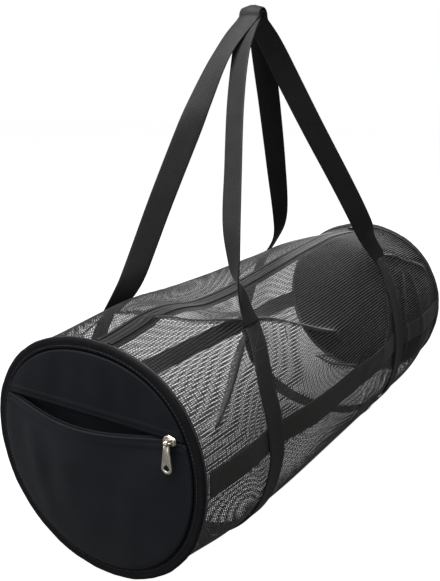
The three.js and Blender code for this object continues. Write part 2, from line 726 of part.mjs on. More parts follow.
// Pull as seen facing the pocket: an eye round the bridge's bar and a plate that hangs from it
function buildPocketPull() {
  const start = -(EYE_INNER + EYE_OUTER) / 2;
  const endRadius = PULL_END_WIDTH / 2;
  const endY = endRadius - PULL_LENGTH;
  const plateShape = new THREE.Shape();
  plateShape.moveTo(-PULL_TOP_WIDTH / 2, start);
  plateShape.lineTo(-endRadius, endY);
  plateShape.absarc(0, endY, endRadius, Math.PI, 2 * Math.PI, false);
  plateShape.lineTo(PULL_TOP_WIDTH / 2, start);
  plateShape.closePath();
  const hole = new THREE.Path();
  hole.absarc(0, endY, PULL_HOLE, 0, 2 * Math.PI, true);
  plateShape.holes.push(hole);
  const plateBody = extrude(plateShape, PULL_THICK);
  plateBody.translate(0, 0, -PULL_THICK / 2);
  const ring = new THREE.Shape();
  ring.absarc(0, 0, EYE_OUTER, 0, 2 * Math.PI, false);
  const bore = new THREE.Path();
  bore.absarc(0, 0, EYE_INNER, 0, 2 * Math.PI, true);
  ring.holes.push(bore);
  const eye = extrude(ring, EYE_LENGTH);
  eye.translate(0, 0, -EYE_LENGTH / 2);
  eye.rotateY(Math.PI / 2);
  return joined(plateBody, eye);
}

// Plain closed slider parked at the far end of the main zip
function buildMainSlider() {
  const shape = new THREE.Shape();
  const half = ZIP_SLIDER_WIDTH / 2;
  shape.moveTo(-ZIP_SLIDER_LENGTH / 2, -half);
  shape.lineTo(ZIP_SLIDER_LENGTH / 2, -half * ZIP_SLIDER_TAPER);
  shape.lineTo(ZIP_SLIDER_LENGTH / 2, half * ZIP_SLIDER_TAPER);
  shape.lineTo(-ZIP_SLIDER_LENGTH / 2, half);
  shape.closePath();
  return extrude(shape, ZIP_SLIDER_THICK);
}

// Every piece lies in one group whose origin is the barrel's centre
const bag = new THREE.Group();
bag.position.set(AXIS_SHIFT, 0, -AXIS_DROP);

function add(parent, name, geometry, finish) {
  const mesh = new THREE.Mesh(geometry, finish);
  mesh.name = name;
  parent.add(mesh);
}

add(bag, 'net_front', buildNetPanel(0, FRONT_SEAM_STATION), netCloth());
add(bag, 'net_bottom', buildNetPanel(FRONT_SEAM_STATION, BACK_SEAM_STATION), netCloth());
add(bag, 'net_back', buildNetPanel(BACK_SEAM_STATION, AROUND), netCloth());
add(bag, 'main_zip_tape', buildZipTape(), zipNylon());
add(bag, 'main_zip_coil', buildZipCoil(), zipNylon());
add(bag, 'main_zip_hem_front', buildZipHem(1), zipNylon());
add(bag, 'main_zip_hem_back', buildZipHem(-1), zipNylon());
add(bag, 'end_panel_near', buildEndPanel(false), panelCloth());
add(bag, 'end_panel_far', buildEndPanel(true), panelCloth());
add(bag, 'rim_binding_near', buildBinding(false), panelCloth());
add(bag, 'rim_binding_far', buildBinding(true), panelCloth());
add(bag, 'pocket_front', buildPocketFront(), panelCloth());
add(bag, 'pocket_top', buildPocketTop(), panelCloth());

const zipLine = MOUTH_HEIGHT - MOUTH_GAPE / 2;
const upperLow = () => zipLine + SEAM_GAP / 2;
const upperHigh = () => zipLine + POCKET_TAPE_WIDTH;
const lowerHigh = (y) => mouthEdge(y) + MOUTH_GAPE / 2 - SEAM_GAP / 2;
const lowerLow = (y) => lowerHigh(y) - POCKET_TAPE_WIDTH;
add(bag, 'pocket_zip_tape_upper', buildPocketTape(upperLow, upperHigh, () => 0), zipNylon());
add(bag, 'pocket_zip_tape_lower', buildPocketTape(lowerLow, lowerHigh, mouthBulge), zipNylon());

const hardware = new THREE.Group();
const sliderBack = HALF_LENGTH + POCKET_LIFT + PANEL_WALL + SEAM_GAP;
hardware.position.set(-sliderBack, -SLIDER_SIDE, zipLine);
const rightward = new THREE.Vector3(0, -1, 0);
const upward = new THREE.Vector3(0, 0, 1);
const facing = new THREE.Vector3(-1, 0, 0);
hardware.quaternion.setFromRotationMatrix(new THREE.Matrix4().makeBasis(rightward, upward, facing));
bag.add(hardware);
add(hardware, 'pocket_slider', buildPocketSlider(), nickel());
const pullGroup = new THREE.Group();
pullGroup.position.set(0, 0, SLIDER_THICK + BRIDGE_RISE);
hardware.add(pullGroup);
add(pullGroup, 'pocket_pull', buildPocketPull(), nickel());

const mainSlider = new THREE.Group();
const sliderX = HALF_LENGTH - ZIP_SLIDER_INSET;
const coilTop = ZIP_COIL_HEIGHT - NET_WALL;
const sliderEnds = [-1, 1].map((end) => sliderX + (end * ZIP_SLIDER_LENGTH) / 2);
const sliderNet = Math.max(...sliderEnds.map((x) => netRadius(x, zipAngle(sliderX))));
const sliderSeat = sliderNet + Math.max(coilTop, ZIP_HEM_THICK + SEAM_GAP) + SEAM_GAP;
mainSlider.position.copy(polar(sliderX, zipAngle(sliderX), sliderSeat));
mainSlider.rotation.x = radians(zipAngle(sliderX));
bag.add(mainSlider);
add(mainSlider, 'main_zip_slider', buildMainSlider(), zipNylon());

add(bag, 'girth_band_near', buildGirth(NEAR_GIRTH), webbing());
add(bag, 'girth_band_far', buildGirth(FAR_GIRTH), webbing());
for (const [name, angle] of [['side_band_front', FRONT_BAND_ANGLE], ['side_band_back', BACK_BAND_ANGLE]]) {
  const strip = lengthStrip(() => angle, SIDE_BAND_WIDTH, BINDING_LIP, LAY_GAP, SIDE_BAND_THICK, 2);
  add(bag, name, strip, sideWebbing());
}
const frontHandle = buildHandle(FRONT_NEAR_LEG, FRONT_FAR_LEG, FRONT_STITCH_ANGLE, HANG_RADIUS);
const outerRadius = HANG_RADIUS + HANDLE_NEST;
const backHandle = buildHandle(BACK_NEAR_LEG, BACK_FAR_LEG, BACK_STITCH_ANGLE, outerRadius);
add(bag, 'handle_front', frontHandle, webbing());
add(bag, 'handle_back', backHandle, webbing());

const group = new THREE.Group();
group.add(bag);
export default group;
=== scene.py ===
"""Looks of a mesh gear bag: open net, cloth ends, zips, webbing and metal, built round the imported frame.

Lengths are metres in the row frame: +X along the barrel away from the pocket end, -Y the front, +Z up.
Angles round the barrel are degrees from the top towards the front.
"""
import logging
import math
from dataclasses import dataclass, field
from enum import Enum

import bpy
import numpy as np
from mathutils import Matrix, Vector


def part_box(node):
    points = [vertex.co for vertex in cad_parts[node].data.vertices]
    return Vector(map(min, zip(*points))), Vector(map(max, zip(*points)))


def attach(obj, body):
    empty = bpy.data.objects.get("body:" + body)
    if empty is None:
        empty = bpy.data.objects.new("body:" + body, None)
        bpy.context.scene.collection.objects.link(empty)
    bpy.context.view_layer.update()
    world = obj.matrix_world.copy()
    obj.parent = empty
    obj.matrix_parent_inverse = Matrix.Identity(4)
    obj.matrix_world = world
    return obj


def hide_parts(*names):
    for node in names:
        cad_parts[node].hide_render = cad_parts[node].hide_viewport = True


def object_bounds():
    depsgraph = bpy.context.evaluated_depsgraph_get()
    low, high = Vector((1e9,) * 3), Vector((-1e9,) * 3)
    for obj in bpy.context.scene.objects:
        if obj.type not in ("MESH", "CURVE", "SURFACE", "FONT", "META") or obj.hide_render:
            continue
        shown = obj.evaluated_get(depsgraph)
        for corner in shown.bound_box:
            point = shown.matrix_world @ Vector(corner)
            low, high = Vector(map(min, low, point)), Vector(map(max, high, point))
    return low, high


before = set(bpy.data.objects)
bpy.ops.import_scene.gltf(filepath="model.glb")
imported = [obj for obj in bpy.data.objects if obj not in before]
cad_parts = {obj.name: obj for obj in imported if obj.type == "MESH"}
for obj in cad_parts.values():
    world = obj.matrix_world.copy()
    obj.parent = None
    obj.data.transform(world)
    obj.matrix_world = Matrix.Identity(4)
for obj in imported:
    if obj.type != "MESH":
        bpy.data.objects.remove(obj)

LOG = logging.getLogger("gear_bag")
Array = np.ndarray
Piece = bpy.types.Object
Material = bpy.types.Material
Socket = bpy.types.NodeSocket
Pair = tuple[float, float]
Triple = tuple[float, float, float]
Faces = list[Array]
CAD_BOX = [list(corner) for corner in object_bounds()]


class Slot(Enum):
    """Material slots of the record."""

    NET = "net"
    PANEL = "panel_cloth"
    BINDING = "binding"
    WEBBING = "webbing"
    SIDE_WEBBING = "side_webbing"
    ZIP = "zip_nylon"
    METAL = "nickel"


class Body(Enum):
    """Bodies of the frame that the pieces ride on."""

    BAG = "bag"
    PULL = "pull"


# Small mathematics


def bell(distance: Array, spread: float) -> Array:
    """Smooth hump, 1 at no distance.

    Args:
        distance: how far off each place is.
        spread: distance at which the hump is down to about a third.

    Returns:
        The height of the hump at each place.
    """
    return np.exp(-((distance / spread) ** 2))


def wrap(degrees: Array) -> Array:
    """Angle brought between -180 and 180 degrees."""
    return (np.asarray(degrees, float) % 360 + 540) % 360 - 180


def unit(vectors: Array) -> Array:
    """Vectors scaled to length one."""
    return vectors / np.maximum(np.linalg.norm(vectors, axis=-1, keepdims=True), 1e-12)


def ripple(place: Array, waves: tuple[Triple, ...]) -> Array:
    """Sum of sine waves, for uneven folds that come out the same each run.

    Args:
        place: where each value is wanted.
        waves: height, turns over one unit of place and starting share of a turn of each wave.

    Returns:
        The summed height at each place.
    """
    return sum(high * np.sin(2 * math.pi * (turns * place + start)) for high, turns, start in waves)


@dataclass(frozen=True)
class Table:
    """Short table with named columns, read smoothly between its rows."""

    names: tuple[str, ...]
    rows: tuple[tuple[float, ...], ...]

    def at(self, name: str, place: Array) -> Array:
        """Smooth value of one column.

        Args:
            name: the column that is read.
            place: places along the first column.

        Returns:
            The column's value at each place.
        """
        grid = np.array(self.rows)
        key = grid[:, 0]
        value = grid[:, self.names.index(name)]
        place = np.asarray(place, float)
        low = np.clip(np.searchsorted(key, place, side="left") - 1, 0, len(key) - 2)
        before = np.maximum(low - 1, 0)
        after = np.minimum(low + 2, len(key) - 1)
        span = key[low + 1] - key[low]
        share = np.clip((place - key[low]) / span, 0, 1)
        slope_in = (value[low + 1] - value[before]) / (key[low + 1] - key[before])
        slope_out = (value[after] - value[low]) / (key[after] - key[low])
        square, cube = share**2, share**3
        return (
            (2 * cube - 3 * square + 1) * value[low]
            + (cube - 2 * square + share) * span * slope_in
            + (3 * square - 2 * cube) * value[low + 1]
            + (cube - square) * span * slope_out
        )


# The barrel's form, which the net and all that lies on it follow


@dataclass(frozen=True)
class Fold:
    """Fold in the net along a line of places, each a share along the barrel and an angle.

    plies is how many yarns the sharp part of the fold gathers side by side; 0 for a soft fold.
    """

    line: tuple[Pair, ...]
    height: float
    width: float
    plies: int = 0


@dataclass
class Barrel:
    """Round net body between the two rims, sagging on top and drawn in by its bands."""

    near_x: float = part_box("end_panel_near")[0].x
    far_x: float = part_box("end_panel_far")[1].x
    axis_z: float = -0.396
    radius: float = 0.125
    rim: float = 0.119
    panel_wall: float = 0.0018
    far_rim_strength: float = 0.35
    near_taper: float = 0.070
    far_taper: float = 0.060
    zip_near: float = 4.0
    zip_far: float = -5.0
    front_stitch: float = 38.0
    back_stitch: float = -48.0
    stitch_lift: float = 0.004
    stitch_length: float = 0.040
    stitch_angle: float = 18.0
    pinch: float = 0.072
    pinch_length: float = 0.048
    pinch_middle: float = 88.0
    pinch_angle: float = 34.0
    sag_rounding: float = 3.0
    rim_waves: Table = Table(
        ("order", "cosine", "sine"),
        ((1, -0.008, -0.016), (2, -0.032, -0.010), (3, -0.012, 0.005), (4, -0.007, 0.001)),
    )
    sag: Table = Table(
        ("along", "depth", "front", "back"),
        (
            (0.00, 0.005, 14, 20), (0.09, 0.020, 16, 24), (0.13, 0.035, 22, 28), (0.18, 0.070, 26, 30),
            (0.25, 0.140, 33, 33), (0.34, 0.155, 48, 37), (0.43, 0.135, 60, 38), (0.50, 0.110, 60, 38),
            (0.60, 0.075, 52, 36), (0.71, 0.050, 32, 34), (0.78, 0.040, 28, 34), (0.87, 0.060, 42, 36),
            (0.94, 0.055, 54, 36), (1.00, 0.005, 50, 36),
        ),
    )
    near_girth: Table = Table(
        ("turn", "along"),
        (
            (0.00, 0.222), (0.03, 0.208), (0.07, 0.191), (0.11, 0.183), (0.15, 0.183), (0.25, 0.186),
            (0.52, 0.184), (0.81, 0.190), (1.00, 0.216),
        ),
    )
    far_girth: Table = Table(
        ("turn", "along"),
        (
            (0.00, 0.756), (0.07, 0.732), (0.15, 0.716), (0.25, 0.716), (0.41, 0.746), (0.52, 0.757),
            (0.81, 0.752), (1.00, 0.770),
        ),
    )
    near_draw: float = 0.010
    near_press: float = 0.014
    press_middle: float = 92.0
    press_angle: float = 38.0
    belly: float = 0.006
    belly_middle: float = 128.0
    belly_angle: float = 48.0
    folds: tuple[Fold, ...] = (
        Fold(
            ((0.190, 40), (0.168, 44), (0.147, 47), (0.116, 53), (0.085, 59), (0.035, 68)),
            0.0030, 0.0055, 9,
        ),
        Fold(
            ((0.100, 4), (0.123, 11), (0.135, 20), (0.159, 27), (0.185, 31), (0.213, 34)),
            0.0030, 0.0055, 8,
        ),
        Fold(
            ((0.235, 36), (0.270, 39), (0.315, 44), (0.345, 49), (0.385, 55), (0.432, 60)),
            0.0032, 0.0055, 8,
        ),
        Fold(((0.299, 45), (0.282, 52)), 0.0012, 0.0040, 2),
        Fold(((0.335, 64), (0.370, 71), (0.423, 77), (0.470, 81)), 0.0016, 0.0045, 3),
        Fold(((0.344, 65), (0.394, 69)), 0.0010, 0.0040, 2),
        Fold(((0.780, 37), (0.825, 40), (0.853, 45), (0.898, 50), (0.955, 57)), 0.0034, 0.0060, 6),
        Fold(((0.880, 44), (0.965, 51)), -0.0022, 0.0050, 0),
        Fold(((0.813, 52), (0.780, 63), (0.755, 80), (0.760, 98)), 0.0026, 0.0060, 3),
        Fold(((0.850, 55), (0.835, 72), (0.840, 96)), 0.0018, 0.0070, 0),
        Fold(((0.577, 82), (0.511, 87)), 0.0014, 0.0060, 2),
        Fold(((0.520, 102), (0.496, 118)), 0.0016, 0.0060, 2),
        Fold(((0.660, 104), (0.610, 124)), 0.0018, 0.0070, 2),
        Fold(((0.690, 60), (0.660, 74), (0.600, 84)), 0.0018, 0.0065, 2),
        Fold(((0.230, -50), (0.300, -56), (0.380, -66)), 0.0026, 0.0055, 5),
        Fold(((0.770, -50), (0.700, -58), (0.640, -70)), 0.0026, 0.0055, 5),
        Fold(((0.190, -52), (0.130, -62), (0.060, -74)), 0.0020, 0.0055, 4),
        Fold(((0.300, 150), (0.420, 172)), 0.0014, 0.0070, 0),
    )

    @property
    def length(self) -> float:
        """Length between the outer faces of the end panels."""
        return self.far_x - self.near_x

    def end(self, far: bool) -> tuple[int, float]:
        """Direction that an end faces along X, and the place of its outer face."""
        return (1, self.far_x) if far else (-1, self.near_x)

    def share(self, x: Array) -> Array:
        """Share of the length at each place along X."""
        return np.clip((x - self.near_x) / self.length, 0, 1)

    def zip_angle(self, x: Array) -> Array:
        """Angle of the main zip at each place along X."""
        return self.zip_near + (self.zip_far - self.zip_near) * self.share(x)

    def girth_x(self, table: Table, angle: Array) -> Array:
        """Place along X of a girth band.

        Args:
            table: the band's route.
            angle: angles round the barrel.

        Returns:
            Where the band's middle lies at each angle.
        """
        split = (self.front_stitch + self.back_stitch) / 2
        down = np.where(wrap(angle) < split, wrap(angle) + 360, wrap(angle))
        turn = (down - self.front_stitch) / (360 + self.back_stitch - self.front_stitch)
        return self.near_x + self.length * table.at("along", np.clip(turn, 0, 1))

    def rim_radius(self, angle: Array, far: bool) -> Array:
        """Radius of a rim that is pulled out of round.

        Args:
            angle: angles round the barrel.
            far: whether it is the far rim, which is rounder.

        Returns:
            The radius at each angle.
        """
        strength = self.far_rim_strength if far else 1.0
        share = np.ones_like(np.asarray(angle, float))
        for order, cosine, sine in self.rim_waves.rows:
            turn = np.radians(order * np.asarray(angle, float))
            share = share + strength * (cosine * np.cos(turn) + sine * np.sin(turn))
        if not far:
            press = self.near_press * bell(wrap(angle) - self.press_middle, self.press_angle)
            share = share - self.near_draw - press
        return self.rim * share

    def net_radius(self, x: Array, angle: Array) -> Array:
        """Outer radius of the net.

        Args:
            x: places along X.
            angle: angles round the barrel.

        Returns:
            The distance from the barrel's axis at each place.
        """
        x, angle = np.broadcast_arrays(np.asarray(x, float), np.asarray(angle, float))
        turn = wrap(angle)
        near, far = bell(x - self.near_x, self.near_taper), bell(x - self.far_x, self.far_taper)
        radius = self.radius + (self.rim_radius(angle, False) - self.radius) * near
        radius = radius + (self.rim_radius(angle, True) - self.radius) * far
        from_zip = wrap(angle - self.zip_angle(x))
        along = self.share(x)
        width = np.where(from_zip > 0, self.sag.at("front", along), self.sag.at("back", along))
        reach = np.minimum(np.abs(from_zip) / width, 1)
        radius = radius - self.radius * self.sag.at("depth", along) * (1 - reach**self.sag_rounding)
        near_stitch = np.minimum(np.abs(turn - self.front_stitch), np.abs(turn - self.back_stitch))
        for table in (self.near_girth, self.far_girth):
            ring = self.girth_x(table, turn)
            side = bell(np.abs(turn) - self.pinch_middle, self.pinch_angle)
            radius = radius - self.radius * self.pinch * side * bell(x - ring, self.pinch_length)
            lift = bell(x - ring, self.stitch_length) * bell(near_stitch, self.stitch_angle)
            radius = radius + self.stitch_lift * lift
        side = bell(np.abs(turn) - self.belly_middle, self.belly_angle)
        radius = radius + self.belly * (1 - near - far) * side
        for fold in self.folds:
            radius = radius + self.fold_lift(fold, along, turn)
        return radius

    def fold_lift(self, fold: Fold, along: Array, turn: Array) -> Array:
        """How far one fold lifts the net.

        Args:
            fold: the fold.
            along: shares of the length.
            turn: angles round the barrel.

        Returns:
            The lift at each place.
        """
        scale = np.array([self.length, math.radians(1) * self.radius])
        place = np.stack([along, turn], -1) * scale
        line = np.array(fold.line) * scale
        nearest = np.full(along.shape, np.inf)
        for start, end in zip(line[:-1], line[1:]):
            step = end - start
            share = np.clip((place - start) @ step / (step @ step), 0, 1)
            nearest = np.minimum(nearest, np.linalg.norm(place - start - share[..., None] * step, axis=-1))
        return fold.height * bell(nearest, fold.width)

    def point(self, x: Array, angle: Array, lift: Array = 0.0) -> Array:
        """Places on the net or at a height over it.

        Args:
            x: places along X.
            angle: angles round the barrel.
            lift: heights over the net.

        Returns:
            Points in the row frame.
        """
        return self.polar(x, angle, self.net_radius(x, angle) + lift)

    def polar(self, x: Array, angle: Array, radius: Array) -> Array:
        """Points at a distance from the barrel's axis.

        Args:
            x: places along X.
            angle: angles round the barrel.
            radius: distances from its axis.

        Returns:
            Points in the row frame.
        """
        x, angle, radius = np.broadcast_arrays(*(np.asarray(v, float) for v in (x, angle, radius)))
        turn = np.radians(angle)
        return np.stack([x, -radius * np.sin(turn), self.axis_z + radius * np.cos(turn)], -1)

    def outward(self, angle: Array) -> Array:
        """Directions away from the barrel's axis."""
        turn = np.radians(np.asarray(angle, float))
        return np.stack([np.zeros_like(turn), -np.sin(turn), np.cos(turn)], -1)


# Meshes


def make_object(name: str, points: Array, faces: Faces, cloth: Array | None = None) -> Piece:
    """Object from arrays of points and faces.

    Args:
        name: the piece's name.
        points: its vertices in the row frame.
        faces: arrays of vertex numbers, one array for each number of corners.
        cloth: place on the flat cloth of each vertex, in metres.

    Returns:
        The new object, smooth shaded and linked to the scene.
    """
    points = np.asarray(points, float).reshape(-1, 3)
    mesh = bpy.data.meshes.new(name)
    corners = np.concatenate([f.ravel() for f in faces]).astype(np.int32)
    totals = np.concatenate([np.full(len(f), f.shape[1]) for f in faces]).astype(np.int32)
    mesh.vertices.add(len(points))
    mesh.vertices.foreach_set("co", points.astype(np.float32).ravel())
    mesh.loops.add(len(corners))
    mesh.loops.foreach_set("vertex_index", corners)
    mesh.polygons.add(len(totals))
    mesh.polygons.foreach_set("loop_start", np.concatenate([[0], np.cumsum(totals)[:-1]]).astype(np.int32))
    mesh.polygons.foreach_set("loop_total", totals)
    if cloth is not None:
        layer = mesh.uv_layers.new(name="cloth")
        layer.data.foreach_set("uv", np.asarray(cloth, np.float32).reshape(-1, 2)[corners].ravel())
    mesh.update(calc_edges=True)
    mesh.validate()
    mesh.polygons.foreach_set("use_smooth", np.ones(len(mesh.polygons), bool))
    thing = bpy.data.objects.new(name, mesh)
    bpy.context.scene.collection.objects.link(thing)
    return thing


def grid_faces(rows: int, columns: int, ring_rows: bool = False, ring_columns: bool = False) -> Array:
    """Four-cornered faces of a grid of points.

    Args:
        rows: number of rows.
        columns: number of points in a row.
        ring_rows: whether the last row joins the first.
        ring_columns: whether each row closes on itself.

    Returns:
        Vertex numbers, four for each face.
    """
    row = np.arange(rows if ring_rows else rows - 1)[:, None]
    column = np.arange(columns if ring_columns else columns - 1)[None, :]
    next_row = (row + 1) % rows
    next_column = (column + 1) % columns
    quads = [row * columns + column, row * columns + next_column]
    quads += [next_row * columns + next_column, next_row * columns + column]
    return np.stack(np.broadcast_arrays(*quads), -1).reshape(-1, 4)


def facing_out(points: Array, faces: Faces) -> Faces:
    """Faces of a closed body, turned so that they face out.

    Args:
        points: the body's vertices.
        faces: its faces, in groups of three or four corners.

    Returns:
        The same groups, reversed where they faced in.
    """
    flat = points.reshape(-1, 3)
    middle = flat.mean(axis=0)
    volume = 0.0
    for group in faces:
        a, b, c = (flat[group[:, k]] - middle for k in (0, 1, 2))
        volume += float((a * np.cross(b, c)).sum())
        if group.shape[1] == 4:
            d = flat[group[:, 3]] - middle
            volume += float((a * np.cross(c, d)).sum())
    return [group[:, ::-1] for group in faces] if volume < 0 else faces


def loft(name: str, sections: Array, ring: bool, cloth: Array | None = None) -> Piece:
    """Closed body through sections that are closed loops.

    Args:
        name: the piece's name.
        sections: points, indexed by section and by place round the section.
        ring: whether the last section joins the first.
        cloth: place of each point on the flat cloth.

    Returns:
        The new object.
    """
    count, loop = sections.shape[:2]
    faces = [grid_faces(count, loop, ring, True)]
    if not ring:
        ends = np.stack([np.arange(loop)[::-1], (count - 1) * loop + np.arange(loop)])
        half = loop // 2
        step = np.arange(half - 1)
        for end in ends:
            quads = [end[step], end[step + 1], end[loop - 2 - step], end[loop - 1 - step]]
            faces.append(np.stack(quads, -1))
    return make_object(name, sections, facing_out(sections, [np.concatenate(faces)]), cloth)


def strip(name: str, outer: Array, inner: Array, ring: bool, across: Array, along: Array) -> Piece:
    """Strip of cloth between an outer and an inner grid of points.

    Args:
        name: the piece's name.
        outer: points of the outer face, indexed along and across.
        inner: points of the inner face, indexed alike.
        ring: whether the strip closes on itself.
        across: distance of each column across the strip.
        along: distance of each row along it.

    Returns:
        The new object.
    """
    sections = np.concatenate([outer, inner[:, ::-1]], axis=1)
    side = np.concatenate([across, across[::-1]])
    cloth = np.stack(np.broadcast_arrays(side[None, :], along[:, None]), -1)
    return loft(name, sections, ring, cloth)


@dataclass(frozen=True)
class EdgeProfile:
    """How a tape or webbing is rounded at its two edges."""

    shares: tuple[float, ...] = (-1, -0.965, -0.90, -0.6, -0.2, 0.2, 0.6, 0.90, 0.965, 1)
    top: tuple[float, ...] = (0.62, 0.95, 1.06, 1, 1, 1, 1, 1.06, 0.95, 0.62)
    under: tuple[float, ...] = (0.38, 0.05, 0, 0, 0, 0, 0, 0, 0.05, 0.38)

    def places(self) -> Array:
        """Places across, from -1 to 1."""
        return np.array(self.shares, float)


EDGE = EdgeProfile()


def tubes(lines: Array, normals: Array, width: Array, height: float) -> tuple[Array, Faces]:
    """Many thin yarns as closed three-sided tubes.

    Args:
        lines: centre points, indexed by thread and along it.
        normals: outward directions at the same places.
        width: width of a thread along the net, one for all or one at each place.
        height: height of a thread out of the net.

    Returns:
        The points and the faces, those with four corners first.
    """
    count, steps = lines.shape[:2]
    tangent = unit(np.gradient(lines, axis=1))
    side = unit(np.cross(tangent, normals))
    lift = np.cross(side, tangent)
    low = lift * height / 3
    corners = [side * width / 2 - low, -side * width / 2 - low, lift * height * 2 / 3]
    rings = np.stack([lines + corner for corner in corners], axis=2)
    base = (np.arange(count) * steps * 3)[:, None, None]
    step = (np.arange(steps - 1) * 3)[None, :, None]
    corner = np.arange(3)[None, None, :]
    following = (corner + 1) % 3
    here = base + step
    quads = [here + corner, here + following, here + 3 + following, here + 3 + corner]
    walls = np.stack(np.broadcast_arrays(*quads), -1).reshape(-1, 4)
    first = base[:, 0] + np.array([[2, 1, 0]])
    last = base[:, 0] + (steps - 1) * 3 + np.array([[0, 1, 2]])
    groups = [walls, np.concatenate([first, last])]
    one = facing_out(rings[:1].reshape(-1, 3), [walls[: (steps - 1) * 3]])
    if one[0][0, 0] != walls[0, 0]:
        groups = [group[:, ::-1] for group in groups]
    return rings.reshape(-1, 3), groups


def grains(name: str, places: Array, along: Array, outward: Array, size: Triple) -> Piece:
    """Many small pointed grains as one mesh, such as stitches or zip teeth.

    Args:
        name: the piece's name.
        places: the grains' centres.
        along: direction of each grain's length.
        outward: direction that each grain stands out in.
        size: length, width and height of a grain.

    Returns:
        The new object.
    """
    along = unit(along)
    side = unit(np.cross(along, outward))
    lift = np.cross(side, along)
    length, width, height = size
    ring = [side * width / 2, lift * height / 2, -side * width / 2, -lift * height / 2]
    shape = [-along * length / 2]
    shape += [part - along * length / 4 for part in ring]
    shape += [part + along * length / 4 for part in ring]
    shape += [along * length / 2]
    points = np.stack([places + part for part in shape], axis=1)
    sides = [(k, (k + 1) % 4) for k in range(4)]
    walls = np.array([[1 + k, 1 + after, 5 + after, 5 + k] for k, after in sides])
    tips = [[0, 1 + after, 1 + k] for k, after in sides] + [[9, 5 + k, 5 + after] for k, after in sides]
    tips = np.array(tips)
    base = (np.arange(len(places)) * 10)[:, None, None]
    faces = [(base + walls).reshape(-1, 4), (base + tips).reshape(-1, 3)]
    one = facing_out(points[:1].reshape(-1, 3), [walls, tips])
    if one[0][0, 0] != walls[0, 0]:
        faces = [group[:, ::-1] for group in faces]
    return make_object(name, points, faces)


def spaced(line: Array, pitch: float) -> tuple[Array, Array]:
    """Evenly spaced places on a line of points.

    Args:
        line: the points.
        pitch: distance between two places.

    Returns:
        The places and the line's direction at each.
    """
    steps = np.linalg.norm(np.diff(line, axis=0), axis=1)
    far = np.concatenate([[0], np.cumsum(steps)])
    at = np.arange(pitch / 2, far[-1], pitch)
    ahead = np.minimum(at + pitch / 4, far[-1])
    place = np.stack([np.interp(at, far, line[:, k]) for k in range(3)], -1)
    forward = np.stack([np.interp(ahead, far, line[:, k]) for k in range(3)], -1) - place
    return place, forward


# Finishes

BANDS_FOR_EACH_SCALE = 20 / (2 * math.pi)
Tone = Triple


